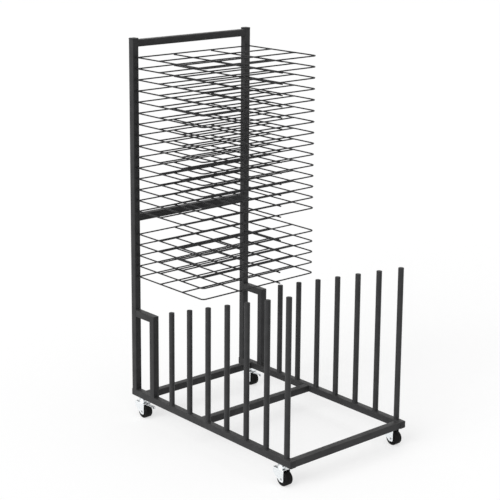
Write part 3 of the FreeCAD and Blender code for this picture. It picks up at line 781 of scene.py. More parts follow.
# %% [markdown]
# ## Weld beads
#
# The tubes are welded all round and coated afterwards, so the beads are as black as the frame and show as a
# soft ripple in each corner. A bead is a thin rod carried round the joint, whose radius swells with every
# drop of weld. Seen close it catches the light in small waves, which a bump in the material can't do at a
# corner.

# %% Run a weld bead
BEAD_RADIUS = 1.5 * MM
BEAD_SINK = 0.8 * MM
BEAD_RIPPLE = 0.12
DROP_LENGTH = 2.4 * MM
STEPS_PER_DROP = 4
BEAD_SIDES = 8


def bead(shape, outline, radius):
    """A rippled bead along a closed outline of points."""
    points = []
    for here, after in zip(outline, outline[1:] + outline[:1]):
        steps = max(1, round((after - here).length / (DROP_LENGTH / STEPS_PER_DROP)))
        points += [here.lerp(after, step / steps) for step in range(steps)]
    run, radii = 0.0, []
    for n, point in enumerate(points):
        radii.append(radius * (1 + BEAD_RIPPLE * math.sin(2 * math.pi * run / DROP_LENGTH)))
        run += (points[(n + 1) % len(points)] - point).length
    rod(shape, points, radii, BEAD_SIDES, closed=True)


def square_bead(shape, middle, axis, width):
    """A bead round the square end of a tube that meets a flat face."""
    reach = width - 2 * BEAD_SINK
    spots = rounded_square(reach, TUBE_CORNER)
    bead(shape, [along_axis(axis, middle[axis], spot, middle) for spot in spots], BEAD_RADIUS)


def end_middles(node):
    """The middles of the two ends of a straight tube."""
    low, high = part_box(node)
    axis = longest_side(low, high)
    one, two = (low + high) / 2, (low + high) / 2
    one[axis], two[axis] = low[axis], high[axis]
    return axis, one, two


print("ripples round a tube's bead, about", round(4 * TUBE_WIDTH / DROP_LENGTH))

# %% [markdown]
# ### Where the beads run
#
# Crossbars and rails are welded at both ends, posts and brace legs only at the foot, and a brace's arm
# where it meets the post. Each group of beads is one piece, so that the list of pieces stays short enough
# to read.

# %% Weld the frame
def frame_beads():
    """The beads between the square tubes."""
    shape = bmesh.new()
    for node in ("top_crossbar", "mid_crossbar", "front_rail", "middle_rail", "rear_rail"):
        axis, one, two = end_middles(node)
        square_bead(shape, one, axis, TUBE_WIDTH)
        square_bead(shape, two, axis, TUBE_WIDTH)
    for node in ("left_post", "right_post", "left_brace_leg", "right_brace_leg"):
        axis, foot, _ = end_middles(node)
        square_bead(shape, foot, axis, TUBE_WIDTH)
    for node in ("left_brace_arm", "right_brace_arm"):
        axis, _, rear = end_middles(node)
        square_bead(shape, rear, axis, TUBE_WIDTH)
    return new_piece("frame_weld_beads", shape, POWDER_COAT, "frame")


print("frame beads", len(frame_beads().data.polygons), "faces")

# %% [markdown]
# ## The divider bars
#
# Fourteen round bars stand on the side rails, each pair a little taller than the one behind. They are plain
# round tube, so a lathe profile with two walls is enough: up the outside, over the rim and down the bore.
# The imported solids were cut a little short, so the bars here run on past them by one named length, which
# moves no joint and stays well below the posts.

# %% Build the bars
BAR_RADIUS = 10 * MM
BAR_WALL = 1.2 * MM
BAR_SIDES = 56
BAR_RUN_ON = 12 * MM
BAR_BEAD_RADIUS = 0.8 * BEAD_RADIUS


def bars(node):
    """One side's row of bars in place of its solids."""
    shape = bmesh.new()
    for low, high in solids_of(node):
        foot = Vector(((low.x + high.x) / 2, (low.y + high.y) / 2, low.z))
        tall, bore = high.z - low.z + BAR_RUN_ON, BAR_RADIUS - BAR_WALL
        profile = [(bore, 0), (BAR_RADIUS, 0), (BAR_RADIUS, tall), (bore, tall), (bore, 0)]
        turned(shape, profile, BAR_SIDES, foot)
    bmesh.ops.remove_doubles(shape, verts=shape.verts, dist=WELD_DISTANCE)
    row = new_piece(node + "_row", shape, BAR_COAT, "frame")
    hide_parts(node)


def bar_beads():
    """A fine bead round the foot of every bar, thinner than those of the square tubes."""
    shape = bmesh.new()
    turn = [2 * math.pi * n / BAR_SIDES for n in range(BAR_SIDES)]
    for node in ("left_bars", "right_bars"):
        for low, high in solids_of(node):
            x, y = (low.x + high.x) / 2, (low.y + high.y) / 2
            spots = [(x + BAR_RADIUS * math.cos(t), y + BAR_RADIUS * math.sin(t)) for t in turn]
            bead(shape, [Vector((*spot, low.z)) for spot in spots], BAR_BEAD_RADIUS)
    return new_piece("bar_weld_beads", shape, POWDER_COAT, "frame")


for bar_node in ("left_bars", "right_bars"):
    bars(bar_node)
print("bar beads", len(bar_beads().data.polygons), "faces")

# %% [markdown]
# ## Caps on the bars
#
# A push-in cap closes each bar: a low head with a rounded rim, and below it a plug inside the bore. It is
# turned like the bar. The head is slightly domed, so a highlight sits on it instead of a flat patch.

# %% Build the bars' caps
CAP_RIM = 1.2 * MM
CAP_DOME = 0.5 * MM
PLUG_GAP = 0.15 * MM
PLUG_DEPTH = 14 * MM
CAP_SIDES = 56
RIM_TURN = 80
RIM_STEPS = 5
DOME_STEPS = 5


def bar_caps():
    """The domed caps on all fourteen bars."""
    shape = bmesh.new()
    for low, high in solids_of("bar_caps"):
        x, y, seat = (low.x + high.x) / 2, (low.y + high.y) / 2, low.z + BAR_RUN_ON
        head = high.z - low.z
        plug = BAR_RADIUS - BAR_WALL - PLUG_GAP
        flat = BAR_RADIUS - CAP_RIM
        profile = [(0, -PLUG_DEPTH), (plug, -PLUG_DEPTH), (plug, 0), (BAR_RADIUS, 0)]
        profile += arc((flat, head - CAP_DOME - CAP_RIM), CAP_RIM, 0, RIM_TURN, RIM_STEPS)
        for step in range(1, DOME_STEPS):
            share = 1 - step / DOME_STEPS
            profile.append((flat * share, head - CAP_DOME * share**2))
        profile.append((0, head))
        turned(shape, profile, CAP_SIDES, (x, y, seat))
    caps = new_piece("bar_cap_row", shape, BLACK_PLASTIC, "frame")
    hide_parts("bar_caps")
    return caps


print("bar caps", len(bar_caps().data.polygons), "faces")

# %% [markdown]
# ## Square caps and plugs
#
# The posts end in a cap with a small lip over the tube, and the side rails in flush plugs. Both are the
# same moulding in two sizes: a plug that fills the bore, a head, and a softly rounded face. The head is
# built as a stack of rounded squares that shrink over the last millimetre, which rounds it without a
# modifier.

# %% Build the square caps
PLUG_CORNER = 0.6 * MM
HEAD_EASE = 1.4 * MM
EASE_STEPS = 5
Y_AXIS, Z_AXIS = 1, 2


def square_head(shape, middle, axis, way, width, head):
    """A plug and rounded head on the end of a square tube, growing one way along an axis."""
    plug = TUBE_WIDTH - 2 * TUBE_WALL - 2 * PLUG_GAP
    stations = [(-PLUG_DEPTH, plug, PLUG_CORNER), (0.0, plug, PLUG_CORNER)]
    stations += [(0.0, width, TUBE_CORNER), (head - HEAD_EASE, width, TUBE_CORNER)]
    for run, rise in arc((0.0, 0.0), HEAD_EASE, 0, 90, EASE_STEPS)[1:]:
        inset = HEAD_EASE - run
        stations.append((head - HEAD_EASE + rise, width - 2 * inset, TUBE_CORNER))
    rings = []
    for station, size, corner in stations:
        at = middle[axis] + way * station
        rings.append([along_axis(axis, at, spot, middle) for spot in rounded_square(size, corner)])
    skin(shape, rings)


def post_caps():
    """The two caps on the posts."""
    shape = bmesh.new()
    for low, high in solids_of("post_caps"):
        middle = (low + high) / 2
        middle.z = low.z + PLUG_DEPTH
        square_head(shape, middle, Z_AXIS, 1, high.x - low.x, high.z - middle.z)
    caps = new_piece("post_cap_pair", shape, BLACK_PLASTIC, "frame")
    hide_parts("post_caps")


def rail_plugs():
    """The four plugs in the ends of the side rails."""
    shape = bmesh.new()
    for low, high in solids_of("rail_end_plugs"):
        middle = (low + high) / 2
        way = 1 if middle.y > 0 else -1
        inner, outer = (low, high) if way > 0 else (high, low)
        middle.y = inner.y + way * PLUG_DEPTH
        square_head(shape, middle, Y_AXIS, way, high.x - low.x, abs(outer.y - middle.y))
    plugs = new_piece("rail_plug_set", shape, BLACK_PLASTIC, "frame")
    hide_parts("rail_end_plugs")


post_caps()
rail_plugs()
print("square caps", len(solids_of("post_caps")) + len(solids_of("rail_end_plugs")))

# %% [markdown]
# ## The wire shelves
#
# A shelf is one 5 mm wire bent into a U, three wires butt-welded across it and two more welded underneath
# from front to back. Each is a rod along its centre line: the bends of the U are true arcs, and every
# sheared end closes in over its last half millimetre. The solids draw a wire with six flats, whose corners
# stand a little further out than the round wire, so its centre line lies that corner's reach inside the
# solid's box.

# %% Draw one shelf's wires
WIRE_RADIUS = 2.5 * MM
SOLID_CORNER = WIRE_RADIUS / math.cos(math.pi / 6)
WIRE_SIDES = 16
WIRE_BEND = 14 * MM
BEND_STEPS = 10
END_EASE = 0.6 * MM


def wire(shape, path):
    """A round wire with softly broken ends."""
    first, last = path[0], path[-1]
    start = (path[1] - first).normalized() * END_EASE
    stop = (path[-2] - last).normalized() * END_EASE
    points = [first, first + start, *path[1:-1], last + stop, last]
    radii = [WIRE_RADIUS - END_EASE] + [WIRE_RADIUS] * (len(points) - 2) + [WIRE_RADIUS - END_EASE]
    rod(shape, points, radii, WIRE_SIDES)


def frame_wire_path(low, high):
    """The centre line of the bent frame wire, from its rear left end round the front to the right one."""
    z = (low.z + high.z) / 2
    left, right, front = low.x + SOLID_CORNER, high.x - SOLID_CORNER, low.y + SOLID_CORNER
    bend_y = front + WIRE_BEND
    bends = arc((left + WIRE_BEND, bend_y), WIRE_BEND, 180, 270, BEND_STEPS)
    bends += arc((right - WIRE_BEND, bend_y), WIRE_BEND, 270, 360, BEND_STEPS)
    corners = [Vector((x, y, z)) for x, y in bends]
    return [Vector((left, high.y, z)), *corners, Vector((right, high.y, z))]


print("a six-sided wire reaches", round(SOLID_CORNER / MM, 3), "mm from its middle")

# %% [markdown]
# ### Spot welds where wires cross
#
# Resistance welding squeezes crossing wires into each other and leaves a small swelling on both sides. A
# flattened ball with an uneven skin, sunk into the crossing, is enough: it is about six millimetres across
# and coated like the wire.

# %% Draw a spot weld
NUGGET = Vector((3.1 * MM, 3.1 * MM, 2.2 * MM))
NUGGET_RINGS = 6
NUGGET_SIDES = 12
LUMP = 0.06
LUMPS_ROUND = 3
LUMPS_DOWN = 2


def nugget(shape, middle, size, seed):
    """A small uneven swelling where two wires are fused."""
    rings = []
    for row in range(1, NUGGET_RINGS):
        tilt = math.pi * row / NUGGET_RINGS
        ring = []
        for n in range(NUGGET_SIDES):
            turn = 2 * math.pi * n / NUGGET_SIDES
            lump = 1 + LUMP * math.sin(LUMPS_ROUND * turn + seed) * math.sin(LUMPS_DOWN * tilt + seed)
            across = math.sin(tilt)
            way = Vector((across * math.cos(turn), across * math.sin(turn), math.cos(tilt)))
            ring.append(middle + Vector((way.x * size.x, way.y * size.y, way.z * size.z)) * lump)
        rings.append(ring)
    skin(shape, rings)


print("spot weld", round(2 * NUGGET.x / MM, 1), "mm across")

# %% [markdown]
# ### Assemble the shelves
#
# A shelf goes together as in a welding jig: first the bent frame wire, then the wires across it, whose ends
# are pressed into its sides, and last the two that run underneath. The box of each solid tells which wire
# it is, by the side on which it is slim. Every weld of a shelf gets its own seed, so that its lumps differ.

# %% Build the shelves
BUTT_DEPTH = 1.0 * MM
SEED_SPREAD = 90
SLIM = 4 * WIRE_RADIUS


def shelf(node):
    """One welded wire shelf in place of its solids."""
    pieces = solids_of(node)
    low, high = max(pieces, key=lambda box: (box[1].x - box[0].x) * (box[1].y - box[0].y))
    crossing = [box for box in pieces if box[1].y - box[0].y < SLIM]
    running = [box for box in pieces if box[1].x - box[0].x < SLIM]
    shape = bmesh.new()
    wire(shape, frame_wire_path(low, high))
    levels = [low.y + SOLID_CORNER] + [(box[0].y + box[1].y) / 2 for box in crossing]
    for one, two in crossing:
        middle = (one + two) / 2
        ends = [Vector((x, middle.y, middle.z)) for x in (one.x - BUTT_DEPTH, two.x + BUTT_DEPTH)]
        wire(shape, ends)
        for end in ends:
            nugget(shape, end, NUGGET.zyx, end.x + end.y)
    for one, two in running:
        middle = (one + two) / 2
        wire(shape, [Vector((middle.x, one.y, middle.z)), Vector((middle.x, two.y, middle.z))])
        for y in levels:
            weld = Vector((middle.x, y, middle.z + WIRE_RADIUS))
            nugget(shape, weld, NUGGET, SEED_SPREAD * (middle.x + y))
    piece = new_piece(node + "_wires", shape, WIRE_COAT, node + "_body")
    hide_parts(node)
    return piece


for shelf_node in SHELF_NODES:
    last_shelf = shelf(shelf_node)
print("shelves", len(SHELF_NODES), "with", len(last_shelf.data.polygons), "faces each")

# %% [markdown]
# ## The casters' forks
#
# A fork is pressed from 2 mm sheet: two cheeks that reach down to the axle, a bent rear skirt, a flat top
# and a raised round crown for the swivel's balls. It is made as a presser would see it, from the outside
# in: the block of its outline, its edges rounded by a Bevel modifier, a smaller block taken out from below
# by a Boolean, and the crown turned on top and joined.

# %% Draw the fork's blocks
FORK_SHEET = 2.0 * MM
AXLE_LEAD = 15.5 * MM
AXLE_HEIGHT = 25 * MM
FORK_LOBE = 11.5 * MM
FORK_LOBE_REAR = 8.0 * MM
FORK_SKIRT = 14 * MM
LOBE_EASE = 6.0 * MM
LOBE_STEPS = 8
FORK_TOP = 33 * MM


def corner_arc(before, corner, after, radius, steps):
    """Points that round one corner of an outline."""
    before, corner, after = Vector(before), Vector(corner), Vector(after)
    one, two = (before - corner).normalized(), (after - corner).normalized()
    half = one.angle(two) / 2
    centre = corner + (one + two).normalized() * radius / math.sin(half)
    start, end = corner + one * radius / math.tan(half), corner + two * radius / math.tan(half)
    ways = [(start - centre).slerp(end - centre, step / steps) for step in range(steps + 1)]
    return [tuple(centre + way.normalized() * radius) for way in ways]


def slab(shape, outline, low_x, high_x):
    """A side view of (y, z) points, drawn out across the caster."""
    skin(shape, [[Vector((x, y, z)) for y, z in outline] for x in (low_x, high_x)])


def fork_outline(low, high, axle_y):
    """The side view of a fork: straight top and front, round lobe at the axle, sloping lower edge."""
    bottom = AXLE_HEIGHT - FORK_LOBE
    top = AXLE_HEIGHT + FORK_TOP
    lobe_front, lobe_rear = (low.y, bottom), (axle_y + FORK_LOBE_REAR, bottom)
    skirt = (high.y, AXLE_HEIGHT + FORK_SKIRT)
    points = [(low.y, top)]
    points += corner_arc((low.y, top), lobe_front, lobe_rear, LOBE_EASE, LOBE_STEPS)
    points += corner_arc(lobe_front, lobe_rear, skirt, LOBE_EASE, LOBE_STEPS)
    points += [skirt, (high.y, top)]
    return points


print("fork's flat top", round((AXLE_HEIGHT + FORK_TOP) / MM), "mm above the floor")

# %% [markdown]
# ### The crown
#
# The crown rises from the flat top of the fork, which swivels on the stem inside it. It is a lathe profile
# with a tapered side and a rounded rim, and it starts a little below the top, so that it joins the sheet
# fully.

# %% Turn the crown
CROWN_FOOT = 14 * MM
CROWN_TAPER = 0.4 * MM
CROWN_RIM = 3.6 * MM
CROWN_RIM_START = 8
CROWN_RIM_STEPS = 8
CROWN_ROOT = 3.0 * MM
CROWN_SKIRT = 1.0 * MM
CROWN_SIDES = 64
STEM_BORE = 5.1 * MM


def crown(name, x, y, foot, top):
    """The raised crown of a fork, bored for the stem."""
    shape = bmesh.new()
    tall = top - foot
    shoulder = CROWN_FOOT - CROWN_TAPER
    rim_foot = tall - CROWN_RIM
    profile = [(STEM_BORE, -CROWN_ROOT), (CROWN_FOOT, -CROWN_SKIRT), (CROWN_FOOT, 0), (shoulder, rim_foot)]
    profile += arc((shoulder - CROWN_RIM, rim_foot), CROWN_RIM, CROWN_RIM_START, 90, CROWN_RIM_STEPS)
    profile += [(STEM_BORE, tall), (STEM_BORE, -CROWN_ROOT)]
    turned(shape, profile, CROWN_SIDES, (x, y, foot))
    bmesh.ops.remove_doubles(shape, verts=shape.verts, dist=WELD_DISTANCE)
    return put_in_scene(name, finish_mesh(shape, name))


print("crown", round(2 * CROWN_FOOT / MM), "mm across, bored", round(2 * STEM_BORE / MM, 1), "mm")

# %% [markdown]
# ### Press the fork
#
# The steps run in the order of the press: blank, bend, hollow, crown. After each modifier the mesh is
# settled, so that the next one works on plain geometry. The stem's bore is drilled last, through sheet and
# crown together.

# %% Build the forks
FORK_EDGE = 1.8 * MM
FORK_EDGE_STEPS = 4
FORK_EDGE_ANGLE = 60
HOLLOW_REACH = 50 * MM
BORE_START = 6.0 * MM
BORE_OVERSHOOT = 2.0 * MM
CORNERS = ("front_left", "front_right", "rear_left", "rear_right")


def rounded_edges(piece, width, steps, angle):
    """Round a piece's edges that are sharper than an angle."""
    step = piece.modifiers.new("Rounded edges", "BEVEL")
    step.width = width
    step.segments = steps
    step.limit_method = "ANGLE"
    step.angle_limit = math.radians(angle)
    settle_modifiers(piece)


def fork(corner):
    """One pressed fork in place of its solid."""
    node = "caster_fork_" + corner
    low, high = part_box(node)
    axle_low, axle_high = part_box("caster_axle_" + corner)
    axle_y = (axle_low.y + axle_high.y) / 2
    x, swivel_y = (low.x + high.x) / 2, axle_y + AXLE_LEAD
    top = AXLE_HEIGHT + FORK_TOP
    blank = bmesh.new()
    slab(blank, fork_outline(low, high, axle_y), low.x, high.x)
    piece = new_piece(node + "_pressing", blank, BRIGHT_ZINC, "fork_" + corner)
    rounded_edges(piece, FORK_EDGE, FORK_EDGE_STEPS, FORK_EDGE_ANGLE)
    front, rear, ceiling = low.y - HOLLOW_REACH, high.y - FORK_SHEET, top - FORK_SHEET
    inside = [(front, -HOLLOW_REACH), (rear, -HOLLOW_REACH), (rear, ceiling), (front, ceiling)]
    hollow = bmesh.new()
    slab(hollow, inside, low.x + FORK_SHEET, high.x - FORK_SHEET)
    boolean(piece, put_in_scene(node + "_hollow", finish_mesh(hollow, node + "_hollow")), "DIFFERENCE")
    boolean(piece, crown(node + "_crown", x, swivel_y, top, high.z), "UNION")
    bore = bmesh.new()
    path = [Vector((x, swivel_y, top - BORE_START)), Vector((x, swivel_y, high.z + BORE_OVERSHOOT))]
    rod(bore, path, [STEM_BORE] * 2, CROWN_SIDES)
    boolean(piece, put_in_scene(node + "_bore", finish_mesh(bore, node + "_bore")), "DIFFERENCE")
    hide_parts(node)
    return piece


for corner_name in CORNERS:
    print(corner_name, "fork faces", len(fork(corner_name).data.polygons))

# %% [markdown]
# ## The wheels
#
# A wheel is one moulding: a tread with rounded shoulders, a sunk web and a hub that fills the fork. A lathe
# profile says all of it, and a fine raised line round the middle of the tread shows where the two halves of
# the mould met.

# %% Build the wheels
WHEEL_SIDES = 96
WHEEL_WIDTH = 28 * MM
SHOULDER = 2.4 * MM
SHOULDER_TURN = 80
SHOULDER_STEPS = 7
WEB_SINK = 2.2 * MM
WEB_FILLET = 0.8 * MM
RIM_WIDTH = 5.5 * MM
RIM_SLOPE = 1.2 * MM
RIM_LIP = 0.4 * MM
RIM_EASE = 0.6 * MM
MOULD_LINE = 0.12 * MM
MOULD_LINE_FOOT = 0.5 * MM
MOULD_LINE_CREST = 0.15 * MM
HUB_RADIUS = 9 * MM
HUB_EASE = 0.6 * MM
WHEEL_BORE = 3.1 * MM


def half_profile(radius, half, hub_half):
    """One side of the wheel from the hub's bore out to the tread, as (radius, distance from the middle)."""
    web = half - WEB_SINK
    rim = radius - RIM_WIDTH
    side = [(WHEEL_BORE, hub_half), (HUB_RADIUS - HUB_EASE, hub_half), (HUB_RADIUS, hub_half - HUB_EASE)]
    side += [(HUB_RADIUS, web + WEB_FILLET), (HUB_RADIUS + WEB_FILLET, web)]
    side += [(rim - RIM_SLOPE, web), (rim, half - RIM_LIP)]
    side += [(rim + RIM_EASE, half), (radius - SHOULDER, half)]
    side += arc((radius - SHOULDER, half - SHOULDER), SHOULDER, SHOULDER_TURN, 0, SHOULDER_STEPS)
    return side


def wheel(corner):
    """One caster wheel in place of its solid."""
    node = "caster_wheel_" + corner
    low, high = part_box(node)
    middle = (low + high) / 2
    hub_half = (high.x - low.x) / 2
    half, radius = WHEEL_WIDTH / 2, (high.z - low.z) / 2
    tread = radius - MOULD_LINE
    side = half_profile(tread, half, hub_half)
    seam = [(tread, MOULD_LINE_FOOT), (radius, MOULD_LINE_CREST)]
    seam += [(radius, -MOULD_LINE_CREST), (tread, -MOULD_LINE_FOOT)]
    other = [(r, -x) for r, x in reversed(side)]
    shape = bmesh.new()
    turned(shape, side + seam + other + [side[0]], WHEEL_SIDES, middle, "X")
    bmesh.ops.remove_doubles(shape, verts=shape.verts, dist=WELD_DISTANCE)
    piece = new_piece(node + "_moulding", shape, BLACK_RUBBER, "wheel_" + corner)
    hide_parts(node)


for corner_name in CORNERS:
    wheel(corner_name)
print("wheels", len(CORNERS))

# %% [markdown]
# ## The axles
#
# Each axle is a rivet whose ends are rolled over outside the fork into low domed heads, with a small dimple
# left by the tool. A lathe profile again, closed on the axis at both ends.

# %% Build the axles
AXLE_RADIUS = 3 * MM
HEAD_RADIUS = 4.3 * MM
HEAD_HEIGHT = 1.5 * MM
HEAD_TURN_START = 20
HEAD_TURN_END = 70
HEAD_TURN_STEPS = 2
DIMPLE = 0.4 * MM
DIMPLE_RADIUS = 0.8 * MM
AXLE_SIDES = 40


def axle(corner):
    """One riveted axle in place of its solid."""
    node = "caster_axle_" + corner
    low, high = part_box(node)
    middle, reach = (low + high) / 2, (high.x - low.x) / 2
    seat = reach - HEAD_HEIGHT
    round_dome = arc((0, 0), 1, HEAD_TURN_START, HEAD_TURN_END, HEAD_TURN_STEPS)
    dome = [(HEAD_RADIUS * out, seat + HEAD_HEIGHT * up) for out, up in round_dome]
    head = [(AXLE_RADIUS, seat), (HEAD_RADIUS, seat), *dome, (DIMPLE_RADIUS, reach), (0, reach - DIMPLE)]
    tail = [(r, -x) for r, x in reversed(head)]
    shape = bmesh.new()
    turned(shape, tail + head, AXLE_SIDES, middle, "X")
    piece = new_piece(node + "_rivet", shape, PLAIN_STEEL, "fork_" + corner)
    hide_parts(node)


for corner_name in CORNERS:
    axle(corner_name)
print("axles", len(CORNERS))

# %% [markdown]
# ## The swivel races
#
# Between rail and crown sits the upper race, a small pressed dish. Turned with a rounded rim and a step, it
# reads as a separate ring above the crown that turns.

# %% Build the races
RACE_EASE = 1.2 * MM
RACE_EASE_TURN = 80
RACE_EASE_STEPS = 5
RACE_SIDES = 64
RACE_SLACK = 0.05 * MM
RACE_BORE = 5.0 * MM
STEP_HEIGHT = 1.6 * MM
STEP_EDGE = 1.2 * MM
STEP_WIDTH = 0.7 * MM


def races():
    """The four upper races under the rails."""
    shape = bmesh.new()
    for low, high in solids_of("caster_races"):
        centre = Vector(((low.x + high.x) / 2, (low.y + high.y) / 2, low.z))
        radius, tall = (high.x - low.x) / 2 - RACE_SLACK, high.z - low.z
        collar = radius - STEP_WIDTH
        profile = [(RACE_BORE, 0), (radius - RACE_EASE, 0)]
        profile += arc((radius - RACE_EASE, RACE_EASE), RACE_EASE, -RACE_EASE_TURN, 0, RACE_EASE_STEPS)
        profile += [(radius, tall - STEP_HEIGHT), (collar, tall - STEP_EDGE), (collar, tall)]
        profile += [(RACE_BORE, tall), (RACE_BORE, 0)]
        turned(shape, profile, RACE_SIDES, centre)
    bmesh.ops.remove_doubles(shape, verts=shape.verts, dist=WELD_DISTANCE)
    piece = new_piece("caster_race_set", shape, DULL_ZINC, "frame")
    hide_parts("caster_races")


races()
print("races", len(solids_of("caster_races")))

# %% [markdown]
# ## The brake pedals
#
# The rear casters carry a foot pedal: a pressed plate with a turned-down tip that rocks on a pin, with a
# brake shoe that comes down on the tread. All of that shows in its side view, so the plate starts as one
# outline, measured from the pin.

# %% Draw a pedal from the side
PIN_RADIUS = 2.0 * MM
TIP_LIP = 7 * MM
TIP_DROP = 5 * MM
TIP_EDGE = 1.2 * MM
TOP_STEP = 0.3 * MM
PEDAL_SHEET = 2.0 * MM
SHOE_FRONT = 13 * MM
SHOE_REAR = 7.5 * MM
SHOE_DROP = 3.8 * MM
PIN_FLAT = 0.1 * MM
LIP_BEND = 3.0 * MM
LIP_BEND_STEPS = 5


def pedal_outline(pin_y, pin_z, tip_y):
    """The side view of a pedal, from the pin forward over the top to the tip and back under it."""
    top = pin_z + PIN_RADIUS - TOP_STEP
    under = pin_z + PIN_RADIUS - PEDAL_SHEET
    lip_y, tip_z = tip_y + TIP_LIP, top - TIP_DROP
    shoe_y, shoe_z = pin_y - SHOE_FRONT, pin_z - SHOE_DROP
    points = [(pin_y, pin_z + PIN_RADIUS - PIN_FLAT)]
    points += corner_arc(points[0], (lip_y, top), (tip_y, tip_z), LIP_BEND, LIP_BEND_STEPS)
    points += [(tip_y, tip_z), (tip_y + TIP_EDGE, tip_z - TIP_EDGE)]
    points += [(lip_y + PEDAL_SHEET / 2, top - PEDAL_SHEET), (shoe_y, under)]
    points += [(shoe_y + PEDAL_SHEET, shoe_z), (pin_y - SHOE_REAR, shoe_z), (pin_y, pin_z - PIN_RADIUS)]
    return points


print("brake shoe reaches", round(SHOE_FRONT / MM, 1), "mm ahead of the pin")

# %% [markdown]
# ### Make the pedals
#
# The outline is drawn out across the pedal's width and a bevel rounds its edges. Three low ribs across the
# front of its top keep a foot from slipping, and they and the pin are plain rods laid across the plate.

# %% Build the pedals
PIN_AHEAD = 6.5 * MM
PIN_ABOVE = 27.8 * MM
PIN_SIDES = 40
PEDAL_HALF = 7 * MM
PEDAL_EDGE = 0.35 * MM
PEDAL_EDGE_STEPS = 2
PEDAL_EDGE_ANGLE = 50
RIB_COUNT = 3
RIB_START = 3.0 * MM
RIB_PITCH = 4.0 * MM
RIB_RADIUS = 0.55 * MM
RIB_HALF = 0.8 * PEDAL_HALF
RIB_SIDES = 12


def cross_rod(shape, x, y, z, half, radius, sides):
    """A straight rod across the pedal."""
    rod(shape, [Vector((x - half, y, z)), Vector((x + half, y, z))], [radius] * 2, sides)


def pedal(corner):
    """One brake pedal, with its pin and ribs, in place of its solid."""
    node = "brake_pedal_" + corner
    low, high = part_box(node)
    axle_low, axle_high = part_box("caster_axle_" + corner)
    pin_y = (axle_low.y + axle_high.y) / 2 - PIN_AHEAD
    pin_z = AXLE_HEIGHT + PIN_ABOVE
    x = (low.x + high.x) / 2
    shape = bmesh.new()
    slab(shape, pedal_outline(pin_y, pin_z, low.y), x - PEDAL_HALF, x + PEDAL_HALF)
    piece = new_piece(node + "_plate", shape, DULL_ZINC, "pedal_" + corner)
    rounded_edges(piece, PEDAL_EDGE, PEDAL_EDGE_STEPS, PEDAL_EDGE_ANGLE)
    extras = bmesh.new()
    extras.from_mesh(piece.data)
    cross_rod(extras, x, pin_y, pin_z, (high.x - low.x) / 2, PIN_RADIUS, PIN_SIDES)
    for step in range(RIB_COUNT):
        rib_y = low.y + TIP_LIP + RIB_START + RIB_PITCH * step
        cross_rod(extras, x, rib_y, pin_z + PIN_RADIUS - TOP_STEP, RIB_HALF, RIB_RADIUS, RIB_SIDES)
    piece.data = finish_mesh(extras, piece.name)
    piece.data.materials.append(DULL_ZINC)
    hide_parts(node)


BRAKED = ("rear_left", "rear_right")
for corner_name in BRAKED:
    pedal(corner_name)
print("pedals", len(BRAKED))

# %% [markdown]
# ## The floor
#
# A studio floor runs out of sight, so that there is no horizon behind the rack. To the camera, in a mirror
# and through glass it glows a little and is almost white; to everything else it is a plain grey. That keeps
# a white page without throwing extra light up onto the black frame. A glow alone would lose the rack's
# shadow, so a part of what is seen is still lit, and there the soft shadow stays.

# %% Lay the floor
FLOOR_HALF = 60.0
SEEN_FLOOR = (0.40, 0.40, 0.40, 1.0)
SEEN_GLOW = 0.61
LIT_FLOOR = (0.55, 0.55, 0.55, 1.0)


def camera_sees(tree):
    """A mask that is 1 for what the camera sees, directly, mirrored or through glass."""
    path = add_node(tree, "ShaderNodeLightPath")
    mirrored = maths(tree, "MAXIMUM", path.outputs["Is Camera Ray"], path.outputs["Is Glossy Ray"])
    return maths(tree, "MAXIMUM", mirrored, path.outputs["Is Transmission Ray"])


def floor_material():
    """A plain matt floor, white to the camera."""
    material = bpy.data.materials.new("studio_floor")
    material.use_nodes = True
    tree = material.node_tree
    shader = tree.nodes["Principled BSDF"]
    shader.inputs["Roughness"].default_value = 1.0
    shader.inputs["Specular IOR Level"].default_value = 0.0
    blend = add_node(tree, "ShaderNodeMix", data_type="RGBA")
    blend.inputs["A"].default_value = LIT_FLOOR
    blend.inputs["B"].default_value = SEEN_FLOOR
    seen = camera_sees(tree)
    tree.links.new(seen, blend.inputs["Factor"])
    tree.links.new(blend.outputs["Result"], shader.inputs["Base Color"])
    shader.inputs["Emission Color"].default_value = (1.0, 1.0, 1.0, 1.0)
    tree.links.new(maths(tree, "MULTIPLY", seen, SEEN_GLOW), shader.inputs["Emission Strength"])
    return material


def studio_floor():
    """One large flat sheet under the wheels."""
    shape = bmesh.new()
    corners = [(-1, -1), (1, -1), (1, 1), (-1, 1)]
    shape.faces.new([shape.verts.new((x * FLOOR_HALF, y * FLOOR_HALF, 0.0)) for x, y in corners])
    mesh = bpy.data.meshes.new("studio_floor")
    shape.to_mesh(mesh)
    shape.free()
    mesh.materials.append(floor_material())
    put_in_scene("studio_floor", mesh)


studio_floor()
print("floor", 2 * FLOOR_HALF, "metres across")

# %% [markdown]
# ## Light
#
# The rack is lit as in a pale studio: an even dome, a broad key from its left, and a weak one from above.
# All are suns with wide discs, which light the floor evenly out to the horizon where area lamps would leave
# a pool. The three together bring a white card that faces up to just about white.

# %% Light the studio
DOME_LIGHT = 0.42
SUNS = {
    "key_from_the_left": ((0.87, 0.08, -0.48), 2.1, 46.0),
    "top_light": ((0.05, 0.10, -1.0), 0.8, 80.0),
}


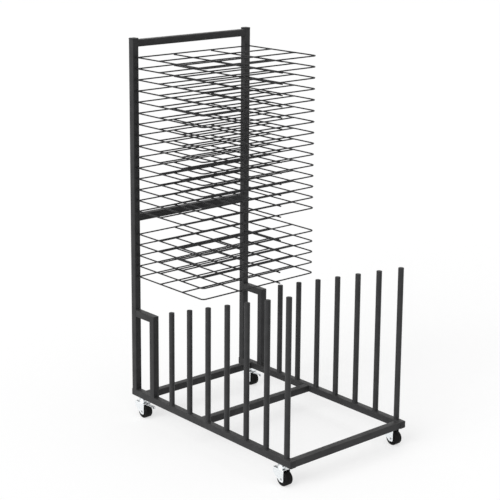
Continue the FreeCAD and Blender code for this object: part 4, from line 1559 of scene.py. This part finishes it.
def studio_dome():
    """An even dome of light, white where it is seen."""
    world = bpy.data.worlds.new("studio_dome")
    world.use_nodes = True
    tree = world.node_tree
    sky = tree.nodes["Background"]
    shown = maths(tree, "MULTIPLY_ADD", camera_sees(tree), 1.0 - DOME_LIGHT, DOME_LIGHT)
    tree.links.new(shown, sky.inputs["Strength"])
    sky.inputs["Color"].default_value = (1.0, 1.0, 1.0, 1.0)
    bpy.context.scene.world = world


def sun(name, way, strength, disc):
    """A sun that shines a given way, with a disc so many degrees wide."""
    lamp = bpy.data.lights.new(name, "SUN")
    lamp.energy = strength
    lamp.angle = math.radians(disc)
    holder = put_in_scene(name, lamp)
    holder.rotation_euler = Vector(way).to_track_quat("-Z", "Y").to_euler()


studio_dome()
for sun_name, (sun_way, sun_strength, sun_disc) in SUNS.items():
    sun(sun_name, sun_way, sun_strength, sun_disc)
print("suns", len(SUNS))

# %% [markdown]
# ## The camera
#
# The camera stands to the left of the rack, two metres up, and looks down at it by twelve
# degrees with a long lens. A small shift of the lens moves the rack within the square frame and keeps its
# perspective.

# %% Set the camera
CAMERA_PLACE = (-3.2130, -3.5370, 2.0090)
CAMERA_PAN = -39.910
CAMERA_DIP = 12.297
CAMERA_ROLL = 0.111
CAMERA_LENS = 100.62
CAMERA_SENSOR = 36.0
CAMERA_SHIFT = (0.0774, -0.1616)
CAMERA_REACH = 300.0


def studio_camera():
    """The camera that frames the rack."""
    lens = bpy.data.cameras.new("studio_camera")
    lens.sensor_width = CAMERA_SENSOR
    lens.lens = CAMERA_LENS
    lens.shift_x, lens.shift_y = CAMERA_SHIFT
    lens.clip_end = CAMERA_REACH
    camera = put_in_scene("studio_camera", lens)
    pan = Matrix.Rotation(math.radians(CAMERA_PAN), 4, "Z")
    tilt = Matrix.Rotation(math.radians(90 - CAMERA_DIP), 4, "X")
    roll = Matrix.Rotation(math.radians(CAMERA_ROLL), 4, "Z")
    camera.matrix_world = Matrix.Translation(CAMERA_PLACE) @ pan @ tilt @ roll
    bpy.context.scene.camera = camera


studio_camera()
bpy.context.scene.view_settings.view_transform = "Standard"
print("camera", CAMERA_PLACE[2], "metres up, with a lens of", CAMERA_LENS, "mm")
